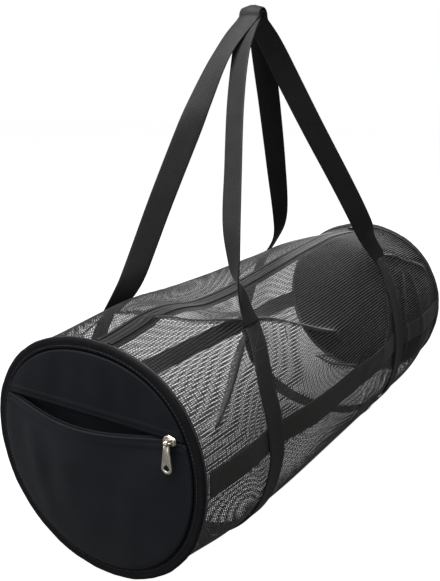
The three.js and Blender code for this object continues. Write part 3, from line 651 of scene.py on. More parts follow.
class Shader:
    """One material under construction, with its shader and the links into it."""

    def __init__(self, name: str) -> None:
        """Starts a material that holds one shader.

        Args:
            name: the material's name.
        """
        self.material = bpy.data.materials.new(name)
        self.material.use_nodes = True
        self.nodes = self.material.node_tree.nodes
        self.surface = self.nodes["Principled BSDF"]

    def node(self, kind: str, **settings: object) -> bpy.types.Node:
        """Adds a node.

        Args:
            kind: Blender's name of the node type.
            settings: values of its properties.

        Returns:
            The node.
        """
        made = self.nodes.new(kind)
        for key, value in settings.items():
            setattr(made, key, value)
        return made

    def link(self, source: Socket, target: Socket) -> None:
        """Joins two sockets."""
        self.material.node_tree.links.new(source, target)

    def noise(self, scale: float, detail: float = 3) -> Socket:
        """Noise in the piece's own space.

        Args:
            scale: humps for each metre.
            detail: how many finer layers it has.

        Returns:
            The noise, about 0 to 1.
        """
        made = self.node("ShaderNodeTexNoise")
        made.inputs["Scale"].default_value = scale
        made.inputs["Detail"].default_value = detail
        self.link(self.node("ShaderNodeTexCoord").outputs["Object"], made.inputs["Vector"])
        return made.outputs["Fac"]

    def wave(self, direction: str, turns: float, bend: float = 0.0) -> Socket:
        """Sine bands over the flat cloth.

        Args:
            direction: X for bands counted across the cloth, Y for bands counted along it.
            turns: bands for each metre.
            bend: how far the bands wander.

        Returns:
            The height of the bands, 0 to 1.
        """
        made = self.node("ShaderNodeTexWave", wave_type="BANDS", bands_direction=direction)
        made.inputs["Scale"].default_value = turns / BANDS_FOR_EACH_SCALE
        made.inputs["Distortion"].default_value = bend
        self.link(self.node("ShaderNodeUVMap", uv_map="cloth").outputs["UV"], made.inputs["Vector"])
        return made.outputs["Fac"]

    def math(self, operation: str, a: object, b: object) -> Socket:
        """Arithmetic on two numbers or sockets.

        Args:
            operation: Blender's name of the operation.
            a: the first number or socket.
            b: the second.

        Returns:
            The result.
        """
        made = self.node("ShaderNodeMath", operation=operation)
        for socket, value in zip(made.inputs, (a, b)):
            if isinstance(value, Socket):
                self.link(value, socket)
            else:
                socket.default_value = value
        return made.outputs["Value"]

    def spread(self, value: Socket, low: float, high: float) -> Socket:
        """Value from 0 to 1 spread between two numbers.

        Args:
            value: the value.
            low: what 0 becomes.
            high: what 1 becomes.

        Returns:
            The spread value.
        """
        made = self.node("ShaderNodeMapRange")
        made.inputs["To Min"].default_value = low
        made.inputs["To Max"].default_value = high
        self.link(value, made.inputs["Value"])
        return made.outputs["Result"]

    def mix(self, first: Socket, share: float, second: Socket) -> Socket:
        """Sum of two sockets, the first by its share and the second by the rest."""
        rest = self.math("MULTIPLY", second, round(1 - share, 9))
        return self.math("ADD", self.math("MULTIPLY", first, share), rest)

    def rough(self, scale: float, low: float, high: float, detail: float = 3) -> None:
        """Roughness that varies between two values by noise of a scale and detail."""
        self.link(self.spread(self.noise(scale, detail), low, high), self.surface.inputs["Roughness"])

    def colour(self, share: Socket, dark: Tone, light: Tone) -> None:
        """Sets the base colour.

        Args:
            share: how far the colour goes from dark to light, over the surface.
            dark: the darker tone.
            light: the lighter tone.
        """
        ramp = self.node("ShaderNodeValToRGB")
        ramp.color_ramp.elements[0].position = 0.3
        ramp.color_ramp.elements[0].color = (*dark, 1)
        ramp.color_ramp.elements[1].position = 0.7
        ramp.color_ramp.elements[1].color = (*light, 1)
        self.link(share, ramp.inputs["Fac"])
        self.link(ramp.outputs["Color"], self.surface.inputs["Base Color"])

    def bumps(self, *layers: tuple[Socket, float, float]) -> None:
        """Adds bump layers.

        Args:
            layers: height, depth in metres and strength of each layer.
        """
        normal = None
        for height, depth, strength in layers:
            bump = self.node("ShaderNodeBump")
            bump.inputs["Strength"].default_value = strength
            bump.inputs["Distance"].default_value = depth
            self.link(height, bump.inputs["Height"])
            if normal is not None:
                self.link(normal, bump.inputs["Normal"])
            normal = bump.outputs["Normal"]
        self.link(normal, self.surface.inputs["Normal"])

    def set(self, **values: object) -> None:
        """Sets the shader's own sockets, underscores standing for spaces in their names."""
        for key, value in values.items():
            self.surface.inputs[key.replace("_", " ")].default_value = value


@dataclass(frozen=True)
class PanelCloth:
    """Plain-woven coated pack cloth, blue-black, with a soft sheen."""

    name: str = "pack_cloth"
    dark: Tone = (0.0040, 0.0046, 0.0062)
    light: Tone = (0.0068, 0.0076, 0.0102)
    threads: float = 1500.0
    weave_depth: float = 0.00008
    roughness: Pair = (0.46, 0.60)
    sheen: float = 0.02

    def build(self) -> Material:
        """Makes the material.

        Returns:
            The material.
        """
        made = Shader(self.name)
        weave = made.math("MULTIPLY", made.wave("X", self.threads), made.wave("Y", self.threads))
        made.colour(made.mix(weave, 0.35, made.noise(26)), self.dark, self.light)
        made.rough(180, *self.roughness)
        made.set(Sheen_Weight=self.sheen, Sheen_Roughness=0.45, Specular_IOR_Level=0.07)
        made.bumps((weave, self.weave_depth, 0.5), (made.noise(60, 4), 0.0006, 0.35))
        return made.material


@dataclass(frozen=True)
class Webbing:
    """Flat woven webbing with ribs across it and cords along it."""

    name: str
    dark: Tone
    light: Tone
    sheen: float = 0.05
    gloss: float = 0.18
    ribs: float = 620.0
    cords: float = 760.0
    rib_depth: float = 0.00016
    roughness: Pair = (0.52, 0.68)

    def build(self) -> Material:
        """Makes the material.

        Returns:
            The material.
        """
        made = Shader(self.name)
        ribs = made.wave("Y", self.ribs, 0.4)
        cords = made.wave("X", self.cords)
        weave = made.mix(ribs, 0.6, cords)
        made.colour(made.mix(weave, 0.45, made.noise(40, 5)), self.dark, self.light)
        made.rough(220, *self.roughness)
        made.set(Sheen_Weight=self.sheen, Sheen_Roughness=0.35, Specular_IOR_Level=self.gloss)
        made.bumps((weave, self.rib_depth, 0.8), (made.noise(700, 2), 0.00008, 0.5))
        return made.material


@dataclass(frozen=True)
class NetYarn:
    """Smooth dark yarn of the net, with a little gloss."""

    name: str = "net_yarn"
    dark: Tone = (0.009, 0.0092, 0.0098)
    light: Tone = (0.020, 0.0204, 0.0216)
    roughness: Pair = (0.38, 0.55)

    def build(self) -> Material:
        """Makes the material.

        Returns:
            The material.
        """
        made = Shader(self.name)
        made.colour(made.noise(90, 4), self.dark, self.light)
        made.rough(900, *self.roughness, 2)
        made.set(Sheen_Weight=0.14, Sheen_Roughness=0.35, Specular_IOR_Level=0.45)
        made.bumps((made.noise(2600, 2), 0.00012, 0.6),)
        return made.material


@dataclass(frozen=True)
class ZipNylon:
    """Close-ribbed nylon of a zip's tape, face and teeth."""

    name: str
    dark: Tone
    light: Tone
    ribs: float = 1250.0
    roughness: Pair = (0.45, 0.62)

    def build(self) -> Material:
        """Makes the material.

        Returns:
            The material.
        """
        made = Shader(self.name)
        ribs = made.wave("X", self.ribs)
        made.colour(made.mix(ribs, 0.5, made.noise(50, 4)), self.dark, self.light)
        made.rough(300, *self.roughness)
        made.set(Sheen_Weight=0.05, Sheen_Roughness=0.4, Specular_IOR_Level=0.2)
        made.bumps((ribs, 0.00012, 0.7), (made.noise(500, 2), 0.0001, 0.4))
        return made.material


@dataclass(frozen=True)
class Nickel:
    """Polished warm nickel with small scuffs."""

    name: str = "warm_nickel"
    dark: Tone = (0.42, 0.38, 0.32)
    light: Tone = (0.60, 0.56, 0.48)
    roughness: Pair = (0.22, 0.36)

    def build(self) -> Material:
        """Makes the material.

        Returns:
            The material.
        """
        made = Shader(self.name)
        made.colour(made.noise(260, 4), self.dark, self.light)
        made.rough(420, *self.roughness, 5)
        made.set(Metallic=1.0)
        made.bumps((made.noise(900, 3), 0.00005, 0.4),)
        return made.material


@dataclass(frozen=True)
class StitchThread:
    """Twisted black sewing thread."""

    name: str = "stitch_thread"
    dark: Tone = (0.008, 0.008, 0.009)
    light: Tone = (0.022, 0.022, 0.024)

    def build(self) -> Material:
        """Makes the material.

        Returns:
            The material.
        """
        made = Shader(self.name)
        made.colour(made.noise(1500, 2), self.dark, self.light)
        made.set(Roughness=0.42)
        made.bumps((made.noise(3000, 2), 0.0001, 0.5),)
        return made.material


@dataclass
class Finishes:
    """Every material of the bag, made once."""

    net: Material = field(default_factory=NetYarn().build)
    panel: Material = field(default_factory=PanelCloth().build)
    # The pocket front is the same pack cloth as the ends. The lighter tones of this copy are painted light,
    # standing for the extra light that the pocket front catches.
    pocket: Material = field(
        default_factory=PanelCloth("pocket_cloth", (0.0058, 0.0066, 0.0086), (0.0100, 0.0110, 0.0142)).build
    )
    binding: Material = field(
        default_factory=Webbing(
            "binding_tape", (0.0035, 0.0037, 0.0045), (0.006, 0.0063, 0.0075), sheen=0.0, gloss=0.06
        ).build
    )
    handle: Material = field(
        default_factory=Webbing("handle_webbing", (0.008, 0.0085, 0.0085), (0.015, 0.0155, 0.015)).build
    )
    side: Material = field(
        default_factory=Webbing("side_webbing", (0.012, 0.0125, 0.0115), (0.021, 0.022, 0.0195)).build
    )
    zip_tape: Material = field(
        default_factory=ZipNylon("zip_tape", (0.005, 0.005, 0.006), (0.010, 0.010, 0.011)).build
    )
    zip_face: Material = field(
        default_factory=ZipNylon("zip_face", (0.009, 0.0092, 0.0092), (0.017, 0.0175, 0.017)).build
    )
    metal: Material = field(default_factory=Nickel().build)
    stitch: Material = field(default_factory=StitchThread().build)


def dress(
    piece: Piece,
    finish: Material,
    stands_for: tuple[str, ...] = (),
    body: Body = Body.BAG,
) -> Piece:
    """Gives a piece its material and body, and hides the frame nodes that it stands for.

    Args:
        piece: the piece.
        finish: its material.
        stands_for: nodes of the frame that it replaces.
        body: the body that it rides on.

    Returns:
        The piece.
    """
    piece.data.materials.append(finish)
    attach(piece, body.value)
    if stands_for:
        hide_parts(*stands_for)
    LOG.info("%s: %d faces", piece.name, len(piece.data.polygons))
    return piece


# Sub-assemblies


@dataclass
class Part:
    """Sub-assembly that is built on the barrel with the bag's self.finishes."""

    barrel: Barrel
    finishes: Finishes


@dataclass
class NetBody(Part):
    """Open net of yarns that run along and round the barrel, with a slot for the zip."""

    slot: float = 0.012
    pitch_round: float = 0.0029
    pitch_along: float = 0.0032
    yarn_along: Pair = (0.00098, 0.00036)
    yarn_round: Pair = (0.00104, 0.00032)
    crowding: float = 0.2
    slack_gain: float = 1.0
    slack_start: float = 0.3
    weave_drop: float = 0.00014
    steps_along: int = 84
    steps_round: int = 92
    gather_steps: int = 34
    gather_pitch: float = 0.0010
    gather_lift: float = 0.0009
    gather_blur: int = 5
    stray_along: float = 0.0016
    stray_round: float = 0.55
    still_ends: float = 0.03
    end_margin: float = 0.001
    yarn_margin: float = 0.002
    flat: Pair = (0.387, 0.630)

    def wander(self, x: Array, share: Array) -> tuple[Array, Array]:
        """How far the yarns stray from a straight grid.

        Args:
            x: places along the barrel.
            share: places round it, from one side of the slot to the other.

        Returns:
            The stray along the barrel in metres and round it in degrees.
        """
        turn = 2 * math.pi
        along = self.stray_along * np.sin(turn * (2.3 * share + 3.1 * x)) * np.sin(turn * 4.3 * x + 1.2)
        around = self.stray_round * np.sin(turn * (5.1 * x + 1.7 * share)) * np.sin(math.pi * share)
        return along, around

    def place(self, x: Array, share: Array, lift: float) -> tuple[Array, Array]:
        """Points of the net and their outward directions.

        Args:
            x: places along the barrel.
            share: places round it, from one side of the slot to the other.
            lift: height over the net's outer face.

        Returns:
            The points and the directions.
        """
        half = math.degrees(self.slot / 2 / self.barrel.radius)
        along, around = self.wander(x, share)
        low, high = self.barrel.near_x, self.barrel.far_x
        ends = np.clip(np.minimum(x - low, high - x) / self.still_ends, 0, 1)
        angle = self.barrel.zip_angle(x) + half + (360 - 2 * half) * share + around * ends
        moved = np.clip(x + along * ends, low + self.end_margin, high - self.end_margin)
        return self.barrel.point(moved, angle, lift), self.barrel.outward(angle)

    def half(self, name: str, start: float, end: float) -> Piece:
        """Front or back half of the net, from the zip to under the bag.

        Args:
            name: the piece's name.
            start: share round the net where the half starts.
            end: share where it ends.

        Returns:
            The piece, with the yarns along and round the barrel.
        """
        low, high = self.barrel.near_x + self.yarn_margin, self.barrel.far_x - self.yarn_margin
        count = round(math.pi * self.barrel.radius / self.pitch_round)
        shift = 0.5 / count * (end - start)
        even = np.linspace(start + shift, end - shift, count)
        crowd = self.crowding * (end - start)
        even = even + math.copysign(crowd, 0.25 - start) * (even - start) * (end - even) / (end - start) ** 2
        x, share = np.meshgrid(np.linspace(low, high, self.steps_along), even)
        lines, normals = self.place(x, share, -self.yarn_along[1] / 2)
        lengthwise = tubes(lines, normals, self.yarn_along[0] * self.slack(normals), self.yarn_along[1])
        count = round(self.barrel.length / self.pitch_along)
        share, x = np.meshgrid(np.linspace(start, end, self.steps_round), np.linspace(low, high, count))
        lines, normals = self.place(x, share, -self.yarn_along[1] / 2 - self.weave_drop)
        around = tubes(lines, normals, self.yarn_round[0] * self.slack(normals), self.yarn_round[1])
        points, faces = lengthwise
        for more, extra in (around, *self.gathers(start < 0.5)):
            faces = [np.concatenate([old, new + len(points)]) for old, new in zip(faces, extra)]
            points = np.concatenate([points, more])
        return make_object(name, points, faces)

    def slack(self, normals: Array) -> Array:
        """How much wider the unstretched yarns under the bag are than those on its sides."""
        return 1 + self.slack_gain * np.clip(-normals[..., 2:] - self.slack_start, 0, 1)

    def gathers(self, front: bool) -> list[tuple[Array, Faces]]:
        """Yarns that lie close together along the sharp folds.

        Args:
            front: whether the folds in front of the zip are wanted, or those behind it.

        Returns:
            Points and faces for each fold.
        """
        made = []
        for fold in self.barrel.folds:
            if not fold.plies or (fold.line[0][1] > 0) != front:
                continue
            line = np.array(fold.line)
            knots = np.linspace(0, 1, len(line))
            fine = np.linspace(0, 1, self.gather_steps)
            bend = np.sin(math.pi * fine) ** 0.5
            smooth = np.stack([np.interp(fine, knots, line[:, k]) for k in range(2)], -1)
            kernel = np.ones(self.gather_blur) / self.gather_blur
            ends = self.gather_blur // 2
            padded = np.concatenate([np.repeat(smooth[:1], ends, 0), smooth, np.repeat(smooth[-1:], ends, 0)])
            smooth = np.stack([np.convolve(padded[:, k], kernel, "valid") for k in range(2)], -1)
            scale = np.array([self.barrel.length, math.radians(1) * self.barrel.radius])
            ahead = unit(np.gradient(smooth * scale, axis=0))
            aside = np.stack([-ahead[:, 1], ahead[:, 0]], -1)
            rows = (np.arange(fold.plies) - (fold.plies - 1) / 2) * self.gather_pitch
            place = smooth * scale + aside * (rows[:, None] * bend)[..., None]
            x = self.barrel.near_x + place[..., 0]
            angle = place[..., 1] / scale[1]
            heap = np.cos(rows / (fold.plies * self.gather_pitch) * math.pi)
            lift = self.gather_lift * heap[:, None] * bend
            lines = self.barrel.point(x, angle, lift)
            made.append(tubes(lines, self.barrel.outward(angle), *self.yarn_round))
        return made

    def build(self) -> None:
        """Both halves."""
        for name, start, end, panels in (
            ("net_yarns_front", 0.0, 0.5, ("net_front", "net_bottom")),
            ("net_yarns_back", 0.5, 1.0, ("net_back", "net_bottom")),
        ):
            half = self.half(name, start, end)
            dress(half, self.finishes.net, panels)


@dataclass
class LyingStrip:
    """Tape or webbing that lies on the net."""

    barrel: Barrel
    width: float
    thick: float
    lift: float

    def lengthwise(self, name: str, middle: Array, x: Array) -> Piece:
        """Strip along the barrel.

        Args:
            name: the piece's name.
            middle: angle of the strip's middle at each place.
            x: places along the barrel.

        Returns:
            The piece.
        """
        aside = np.degrees(EDGE.places() * self.width / 2 / self.barrel.radius)
        return self.lying(name, x[:, None], middle[:, None] + aside, x)

    def around(self, name: str, middle: Array, angle: Array, extra: Array) -> Piece:
        """Strip round the barrel.

        Args:
            name: the piece's name.
            middle: place along X of the strip's middle at each angle.
            angle: angles round the barrel.
            extra: further height at each angle.

        Returns:
            The piece.
        """
        x = middle[:, None] + EDGE.places() * self.width / 2
        return self.lying(name, x, angle[:, None], np.radians(angle) * self.barrel.radius, extra[:, None])

    def lying(self, name: str, x: Array, angle: Array, along: Array, extra: Array = 0.0) -> Piece:
        """Strip over the net at a grid of places.

        Args:
            name: the piece's name.
            x: places along X.
            angle: angles round the barrel.
            along: distance of each row along the strip.
            extra: further height.

        Returns:
            The piece.
        """
        base = self.barrel.net_radius(x, angle) + self.lift + extra
        heights = [base + self.thick * np.array(side) for side in (EDGE.top, EDGE.under)]
        faces = [self.barrel.polar(x, angle, height) for height in heights]
        return strip(name, *faces, False, EDGE.places() * self.width / 2, along)


@dataclass
class MainZip(Part):
    """Closed zip along the top: tape, woven face, teeth and net hems; the frame's slider gets its finish."""

    tape_width: float = 0.030
    slot: float = 0.012
    face_width: float = 0.0105
    hem_width: float = 0.0040
    inset: float = 0.002
    hem_inset: float = 0.008
    hem_gap: float = 0.0003
    steps: int = 150
    tooth_pitch: float = 0.0016
    tooth: Triple = (0.0028, 0.0011, 0.0012)
    tape_lie: Pair = (0.0010, -0.0028)
    face_lie: Pair = (0.0013, -0.0006)
    hem_lie: Pair = (0.0010, 0.0003)

    def build(self) -> None:
        """All pieces of the zip."""
        barrel = self.barrel
        low = barrel.near_x + barrel.panel_wall + self.inset
        x = np.linspace(low, barrel.far_x - barrel.panel_wall - self.inset, self.steps)
        middle = barrel.zip_angle(x)
        tape = LyingStrip(barrel, self.tape_width, *self.tape_lie).lengthwise("zip_tape_woven", middle, x)
        dress(tape, self.finishes.zip_tape, ("main_zip_tape",))
        half = self.face_width / 2
        for name, side in (("zip_face_front", 1), ("zip_face_back", -1)):
            aside = math.degrees(side * (half / 2 + 0.00025) / barrel.radius)
            face = LyingStrip(barrel, half - 0.0003, *self.face_lie).lengthwise(name, middle + aside, x)
            dress(face, self.finishes.zip_face, ("main_zip_coil",))
        line = barrel.point(x, middle, 0.0)
        places, along = spaced(line, self.tooth_pitch)
        outward = barrel.outward(barrel.zip_angle(places[:, 0]))
        side = np.cross(along, outward)
        teeth = grains("zip_coil_teeth", places, side, outward, self.tooth)
        dress(teeth, self.finishes.zip_tape, ("main_zip_coil",))
        ends = np.linspace(barrel.near_x + self.hem_inset, barrel.far_x - self.hem_inset, self.steps)
        for name, side in (("front", 1), ("back", -1)):
            aside = math.degrees(side * (self.slot / 2 + self.hem_gap + self.hem_width / 2) / barrel.radius)
            edge = barrel.zip_angle(ends) + aside
            hem = LyingStrip(barrel, self.hem_width, *self.hem_lie).lengthwise(f"net_hem_{name}", edge, ends)
            dress(hem, self.finishes.zip_tape, (f"main_zip_hem_{name}",))
        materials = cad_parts["main_zip_slider"].data.materials
        materials.clear()
        materials.append(self.finishes.zip_tape)


@dataclass
class Girths(Part):
    """Webbing round the barrel under the handles, and along its sides."""

    width: float = 0.026
    thick: float = 0.0016
    side_width: float = 0.025
    side_thick: float = 0.0012
    lay_gap: float = 0.00075
    front_band: float = 88.0
    back_band: float = 261.0
    crossing: float = 15.0
    crossing_flat: float = 1.6
    end_inset: float = 0.008
    steps: int = 170
    stitch_inset: float = 0.003
    stitch_pitch: float = 0.0038
    thread: Triple = (0.0030, 0.0006, 0.0005)
    box_start: float = 1.2
    box_end: float = 10.5

    def crossing_lift(self, angle: Array) -> Array:
        """Extra height of a girth band where it crosses a side band."""
        off = np.minimum(np.abs(angle - self.front_band), np.abs(angle - self.back_band))
        return (self.side_thick + self.lay_gap) * np.minimum(self.crossing_flat * bell(off, self.crossing), 1)

    def build(self) -> None:
        """Both girth bands and both side bands, with their stitches."""
        barrel = self.barrel
        angle = np.linspace(barrel.front_stitch, 360 + barrel.back_stitch, self.steps)
        lying = LyingStrip(barrel, self.width, self.thick, self.lay_gap)
        for name, table in (("near", barrel.near_girth), ("far", barrel.far_girth)):
            middle = barrel.girth_x(table, angle)
            band = lying.around(f"girth_webbing_{name}", middle, angle, self.crossing_lift(angle))
            dress(band, self.finishes.handle, (f"girth_band_{name}",))
            lift = self.lay_gap + self.thick + self.crossing_lift(angle)
            aside = self.width / 2 - self.stitch_inset
            lines = [barrel.point(middle + side * aside, angle, lift) for side in (-1, 1)]
            for stitch, way in ((barrel.front_stitch, 1), (360 + barrel.back_stitch, -1)):
                lines += self.crossed_box(table, stitch, way)
            self.stitch(f"girth_stitches_{name}", lines)
        x = np.linspace(barrel.near_x + self.end_inset, barrel.far_x - self.end_inset, self.steps)
        lying = LyingStrip(barrel, self.side_width, self.side_thick, self.lay_gap)
        for name, middle in (("front", self.front_band), ("back", self.back_band)):
            band = lying.lengthwise(f"side_webbing_{name}", np.full_like(x, middle), x)
            dress(band, self.finishes.side, (f"side_band_{name}",))
            aside = math.degrees((self.side_width / 2 - self.stitch_inset) / barrel.radius)
            lift = self.lay_gap + self.side_thick
            lines = [barrel.point(x, middle + side * aside, lift) for side in (-1, 1)]
            self.stitch(f"side_stitches_{name}", lines)

    def crossed_box(self, table: Table, start: float, way: int) -> list[Array]:
        """Box of stitches with a cross in it, where a handle joins a girth band.

        Args:
            table: the girth band's table.
            start: angle of the joint.
            way: 1 when the band runs on to larger angles, -1 to smaller ones.

        Returns:
            The lines of the box and the cross.
        """
        half = self.width / 2 - self.stitch_inset
        corners = [(-1, self.box_start), (1, self.box_start), (1, self.box_end), (-1, self.box_end)]
        lines = []
        for first, last in ((0, 1), (2, 3), (0, 2), (1, 3)):
            share = np.linspace(0, 1, 24)
            aside = half * (corners[first][0] + (corners[last][0] - corners[first][0]) * share)
            angle = start + way * (corners[first][1] + (corners[last][1] - corners[first][1]) * share)
            lift = self.lay_gap + self.thick + self.crossing_lift(angle)
            lines.append(self.barrel.point(self.barrel.girth_x(table, angle) + aside, angle, lift))
        return lines

    def stitch(self, name: str, lines: list[Array]) -> None:
        """Rows of stitches along lines that lie on the barrel.

        Args:
            name: the piece's name.
            lines: the lines.
        """
        found = [spaced(line, self.stitch_pitch) for line in lines]
        places = np.concatenate([place for place, _ in found])
        along = np.concatenate([direction for _, direction in found])
        axis = np.array([0, 0, self.barrel.axis_z])
        outward = unit((places - axis) * np.array([0, 1, 1]))
        dress(grains(name, places, along, outward, self.thread), self.finishes.stitch)


LEG_COLUMNS = ("rise", "bow", "twist", "fold", "lean")
LEGS = {
    "front_near": Table(
        LEG_COLUMNS,
        (
            (0.00, 0.000, 90, 0, 0.000), (0.06, -0.022, 75, 0, 0.000), (0.12, -0.066, 51, 0, 0.000),
            (0.19, -0.092, 36, 0, 0.000), (0.32, -0.114, 20, 0, 0.000), (0.50, -0.106, 21, 0, 0.000),
            (0.70, -0.090, 21, 0, 0.000), (0.86, -0.060, 19, 2, 0.000), (0.94, -0.030, 9, 6, 0.000),
            (1.00, 0.000, 0, 15, 0.000),
        ),
    ),
    "front_far": Table(
        LEG_COLUMNS,
        (
            (0.00, 0.000, -90, 0, 0.000), (0.06, -0.012, -82, 0, -0.006), (0.15, -0.030, -50, 0, -0.016),
            (0.35, -0.027, -33, 0, -0.014), (0.60, -0.018, -33, 0, -0.006), (0.80, -0.004, -28, 0, 0.000),
            (0.92, 0.002, -13, 5, 0.000), (1.00, 0.000, 0, 15, 0.000),
        ),
    ),
    "back_near": Table(
        LEG_COLUMNS,
        (
            (0.00, 0.000, -90, 0, 0.000), (0.08, 0.004, -62, 0, -0.012), (0.18, -0.004, -38, 0, -0.016),
            (0.40, -0.034, -33, 0, -0.016), (0.62, -0.058, -28, 0, -0.015), (0.72, -0.066, -10, 0, -0.014),
            (0.86, -0.064, 8, 2, -0.010), (0.94, -0.034, 3, 6, -0.004), (1.00, 0.000, 0, 15, 0.000),
        ),
    ),
    "back_far": Table(
        LEG_COLUMNS,
        (
            (0.00, 0.000, -90, 0, 0.000), (0.12, 0.012, -78, 0, -0.040), (0.24, 0.022, -62, 0, -0.047),
            (0.45, 0.026, -46, 0, -0.034), (0.70, 0.030, -32, 0, -0.012), (0.84, 0.020, -26, 0, -0.004),
            (0.93, 0.012, -12, 5, 0.000), (1.00, 0.000, 0, 15, 0.000),
        ),
    ),
}


@dataclass
class Handles(Part):
    """Two long webbing loops from the stitched ends up to the bend where the bag hangs."""

    width: float = 0.026
    thick: float = 0.0016
    lay_gap: float = 0.00075
    seam_gap: float = 0.0003
    hang_radius: float = 0.008
    nest: float = 0.0033
    hug: float = 0.008
    hug_rise: float = 0.06
    leg_steps: int = 90
    bend_steps: int = 28
    crowding: float = 1.3
    softness: float = 0.12
    legs: dict[str, Table] = field(default_factory=LEGS.copy)

    def leg(self, name: str, girth: Table, stitch: float, bend_x: float) -> dict[str, Array]:
        """Stations of one leg from its stitched end up to the bend.

        Args:
            name: the leg's table.
            girth: the girth band that it is sewn to.
            stitch: angle of the stitched end.
            bend_x: place along X where it meets the bend.

        Returns:
            Points, twist and fold at each station, and the direction at the foot.
        """
        barrel = self.barrel
        table = self.legs[name]
        x = float(barrel.girth_x(girth, np.array(stitch)))
        turn = math.radians(stitch)
        inward = math.copysign(1, stitch)
        tangent = np.array([0, inward * math.cos(turn), inward * math.sin(turn)])
        under = barrel.net_radius(x + np.array([-0.5, 0, 0.5]) * self.width, stitch).max()
        foot = barrel.polar(x, stitch, under + self.lay_gap + self.thick / 2) + tangent * self.seam_gap
        head = np.array([bend_x, 0, 0])
        rise = np.linspace(0, 1, self.leg_steps + 1) ** self.crowding
        points = foot + (head - foot) * rise[:, None]
        for axis, column in enumerate(("bow", "lean")):
            points[:, axis] += table.at(column, rise) * np.linalg.norm(head - foot)
        hug = rise / self.hug_rise * np.exp(1 - rise / self.hug_rise)
        points += tangent * (self.hug * hug)[:, None]
        turns = {name: table.at(name, rise) for name in ("twist", "fold")}
        return {"points": points, **turns, "foot": tangent}

    def route(self, side: str, stitch: float, radius: float) -> dict[str, Array]:
        """Whole route of one handle.

        Args:
            side: front or back.
            stitch: angle of its stitched ends.
            radius: radius of its bend.

        Returns:
            Points, tangents, directions across, folds and lengths along.
        """
        near = self.leg(f"{side}_near", self.barrel.near_girth, stitch, -radius)
        far = self.leg(f"{side}_far", self.barrel.far_girth, stitch, radius)
        turn = math.pi * (1 - np.arange(1, self.bend_steps) / self.bend_steps)
        bend = np.stack([radius * np.cos(turn), 0 * turn, radius * np.sin(turn)], -1)
        points = np.concatenate([near["points"], bend, far["points"][::-1]])
        tangent = unit(np.gradient(points, axis=0))
        last = self.leg_steps
        tangent[0] = near["foot"]
        tangent[last] = (0, 0, 1)
        tangent[last + 1 : last + self.bend_steps] = np.stack([np.sin(turn), 0 * turn, -np.cos(turn)], -1)
        tangent[last + self.bend_steps] = (0, 0, -1)
        tangent[-1] = -far["foot"]
        blank = np.zeros(self.bend_steps - 1)
        twist = np.concatenate([near["twist"], blank, far["twist"][::-1]])
        fold = np.concatenate([near["fold"], blank + near["fold"][-1], far["fold"][::-1]])
        upward = tangent.copy()
        upward[last + self.bend_steps :] *= -1
        across = np.zeros_like(points)
        for i, (direction, axis) in enumerate(zip(tangent, upward)):
            flat = unit(np.array([0, 1, 0]) - direction[1] * direction)
            across[i] = Matrix.Rotation(-math.radians(twist[i]), 3, Vector(axis)) @ Vector(flat)
        across[0] = (math.copysign(1, twist[0]), 0, 0)
        across[-1] = (math.copysign(1, twist[-1]), 0, 0)
        steps = np.linalg.norm(np.diff(points, axis=0), axis=1)
        return {
            "points": points,
            "tangent": tangent,
            "across": across,
            "fold": np.radians(fold),
            "along": np.concatenate([[0], np.cumsum(steps)]),
        }

    def build(self) -> None:
        """Both handles."""
        barrel = self.barrel
        plan = (("front", barrel.front_stitch, 0), ("back", barrel.back_stitch, self.nest))
        for side, stitch, nest in plan:
            way = self.route(side, stitch, self.hang_radius + nest)
            outward = np.cross(way["tangent"], way["across"])
            across = EDGE.places() * self.width / 2
            reach = across[None, :]
            soft = self.softness * self.width / 2
            roof = np.sqrt(reach**2 + soft**2) - soft
            fold = way["fold"][:, None]
            middle = way["points"][:, None] + way["across"][:, None] * (reach * np.cos(fold))[..., None]
            middle = middle - outward[:, None] * (roof * np.sin(fold))[..., None]
            heights = [(np.array(face) - 0.5) * self.thick for face in (EDGE.top, EDGE.under)]
            faces = [middle + outward[:, None] * height[None, :, None] for height in heights]
            piece = strip(f"handle_webbing_{side}", *faces, False, across, way["along"])
            dress(piece, self.finishes.handle, (f"handle_{side}",))


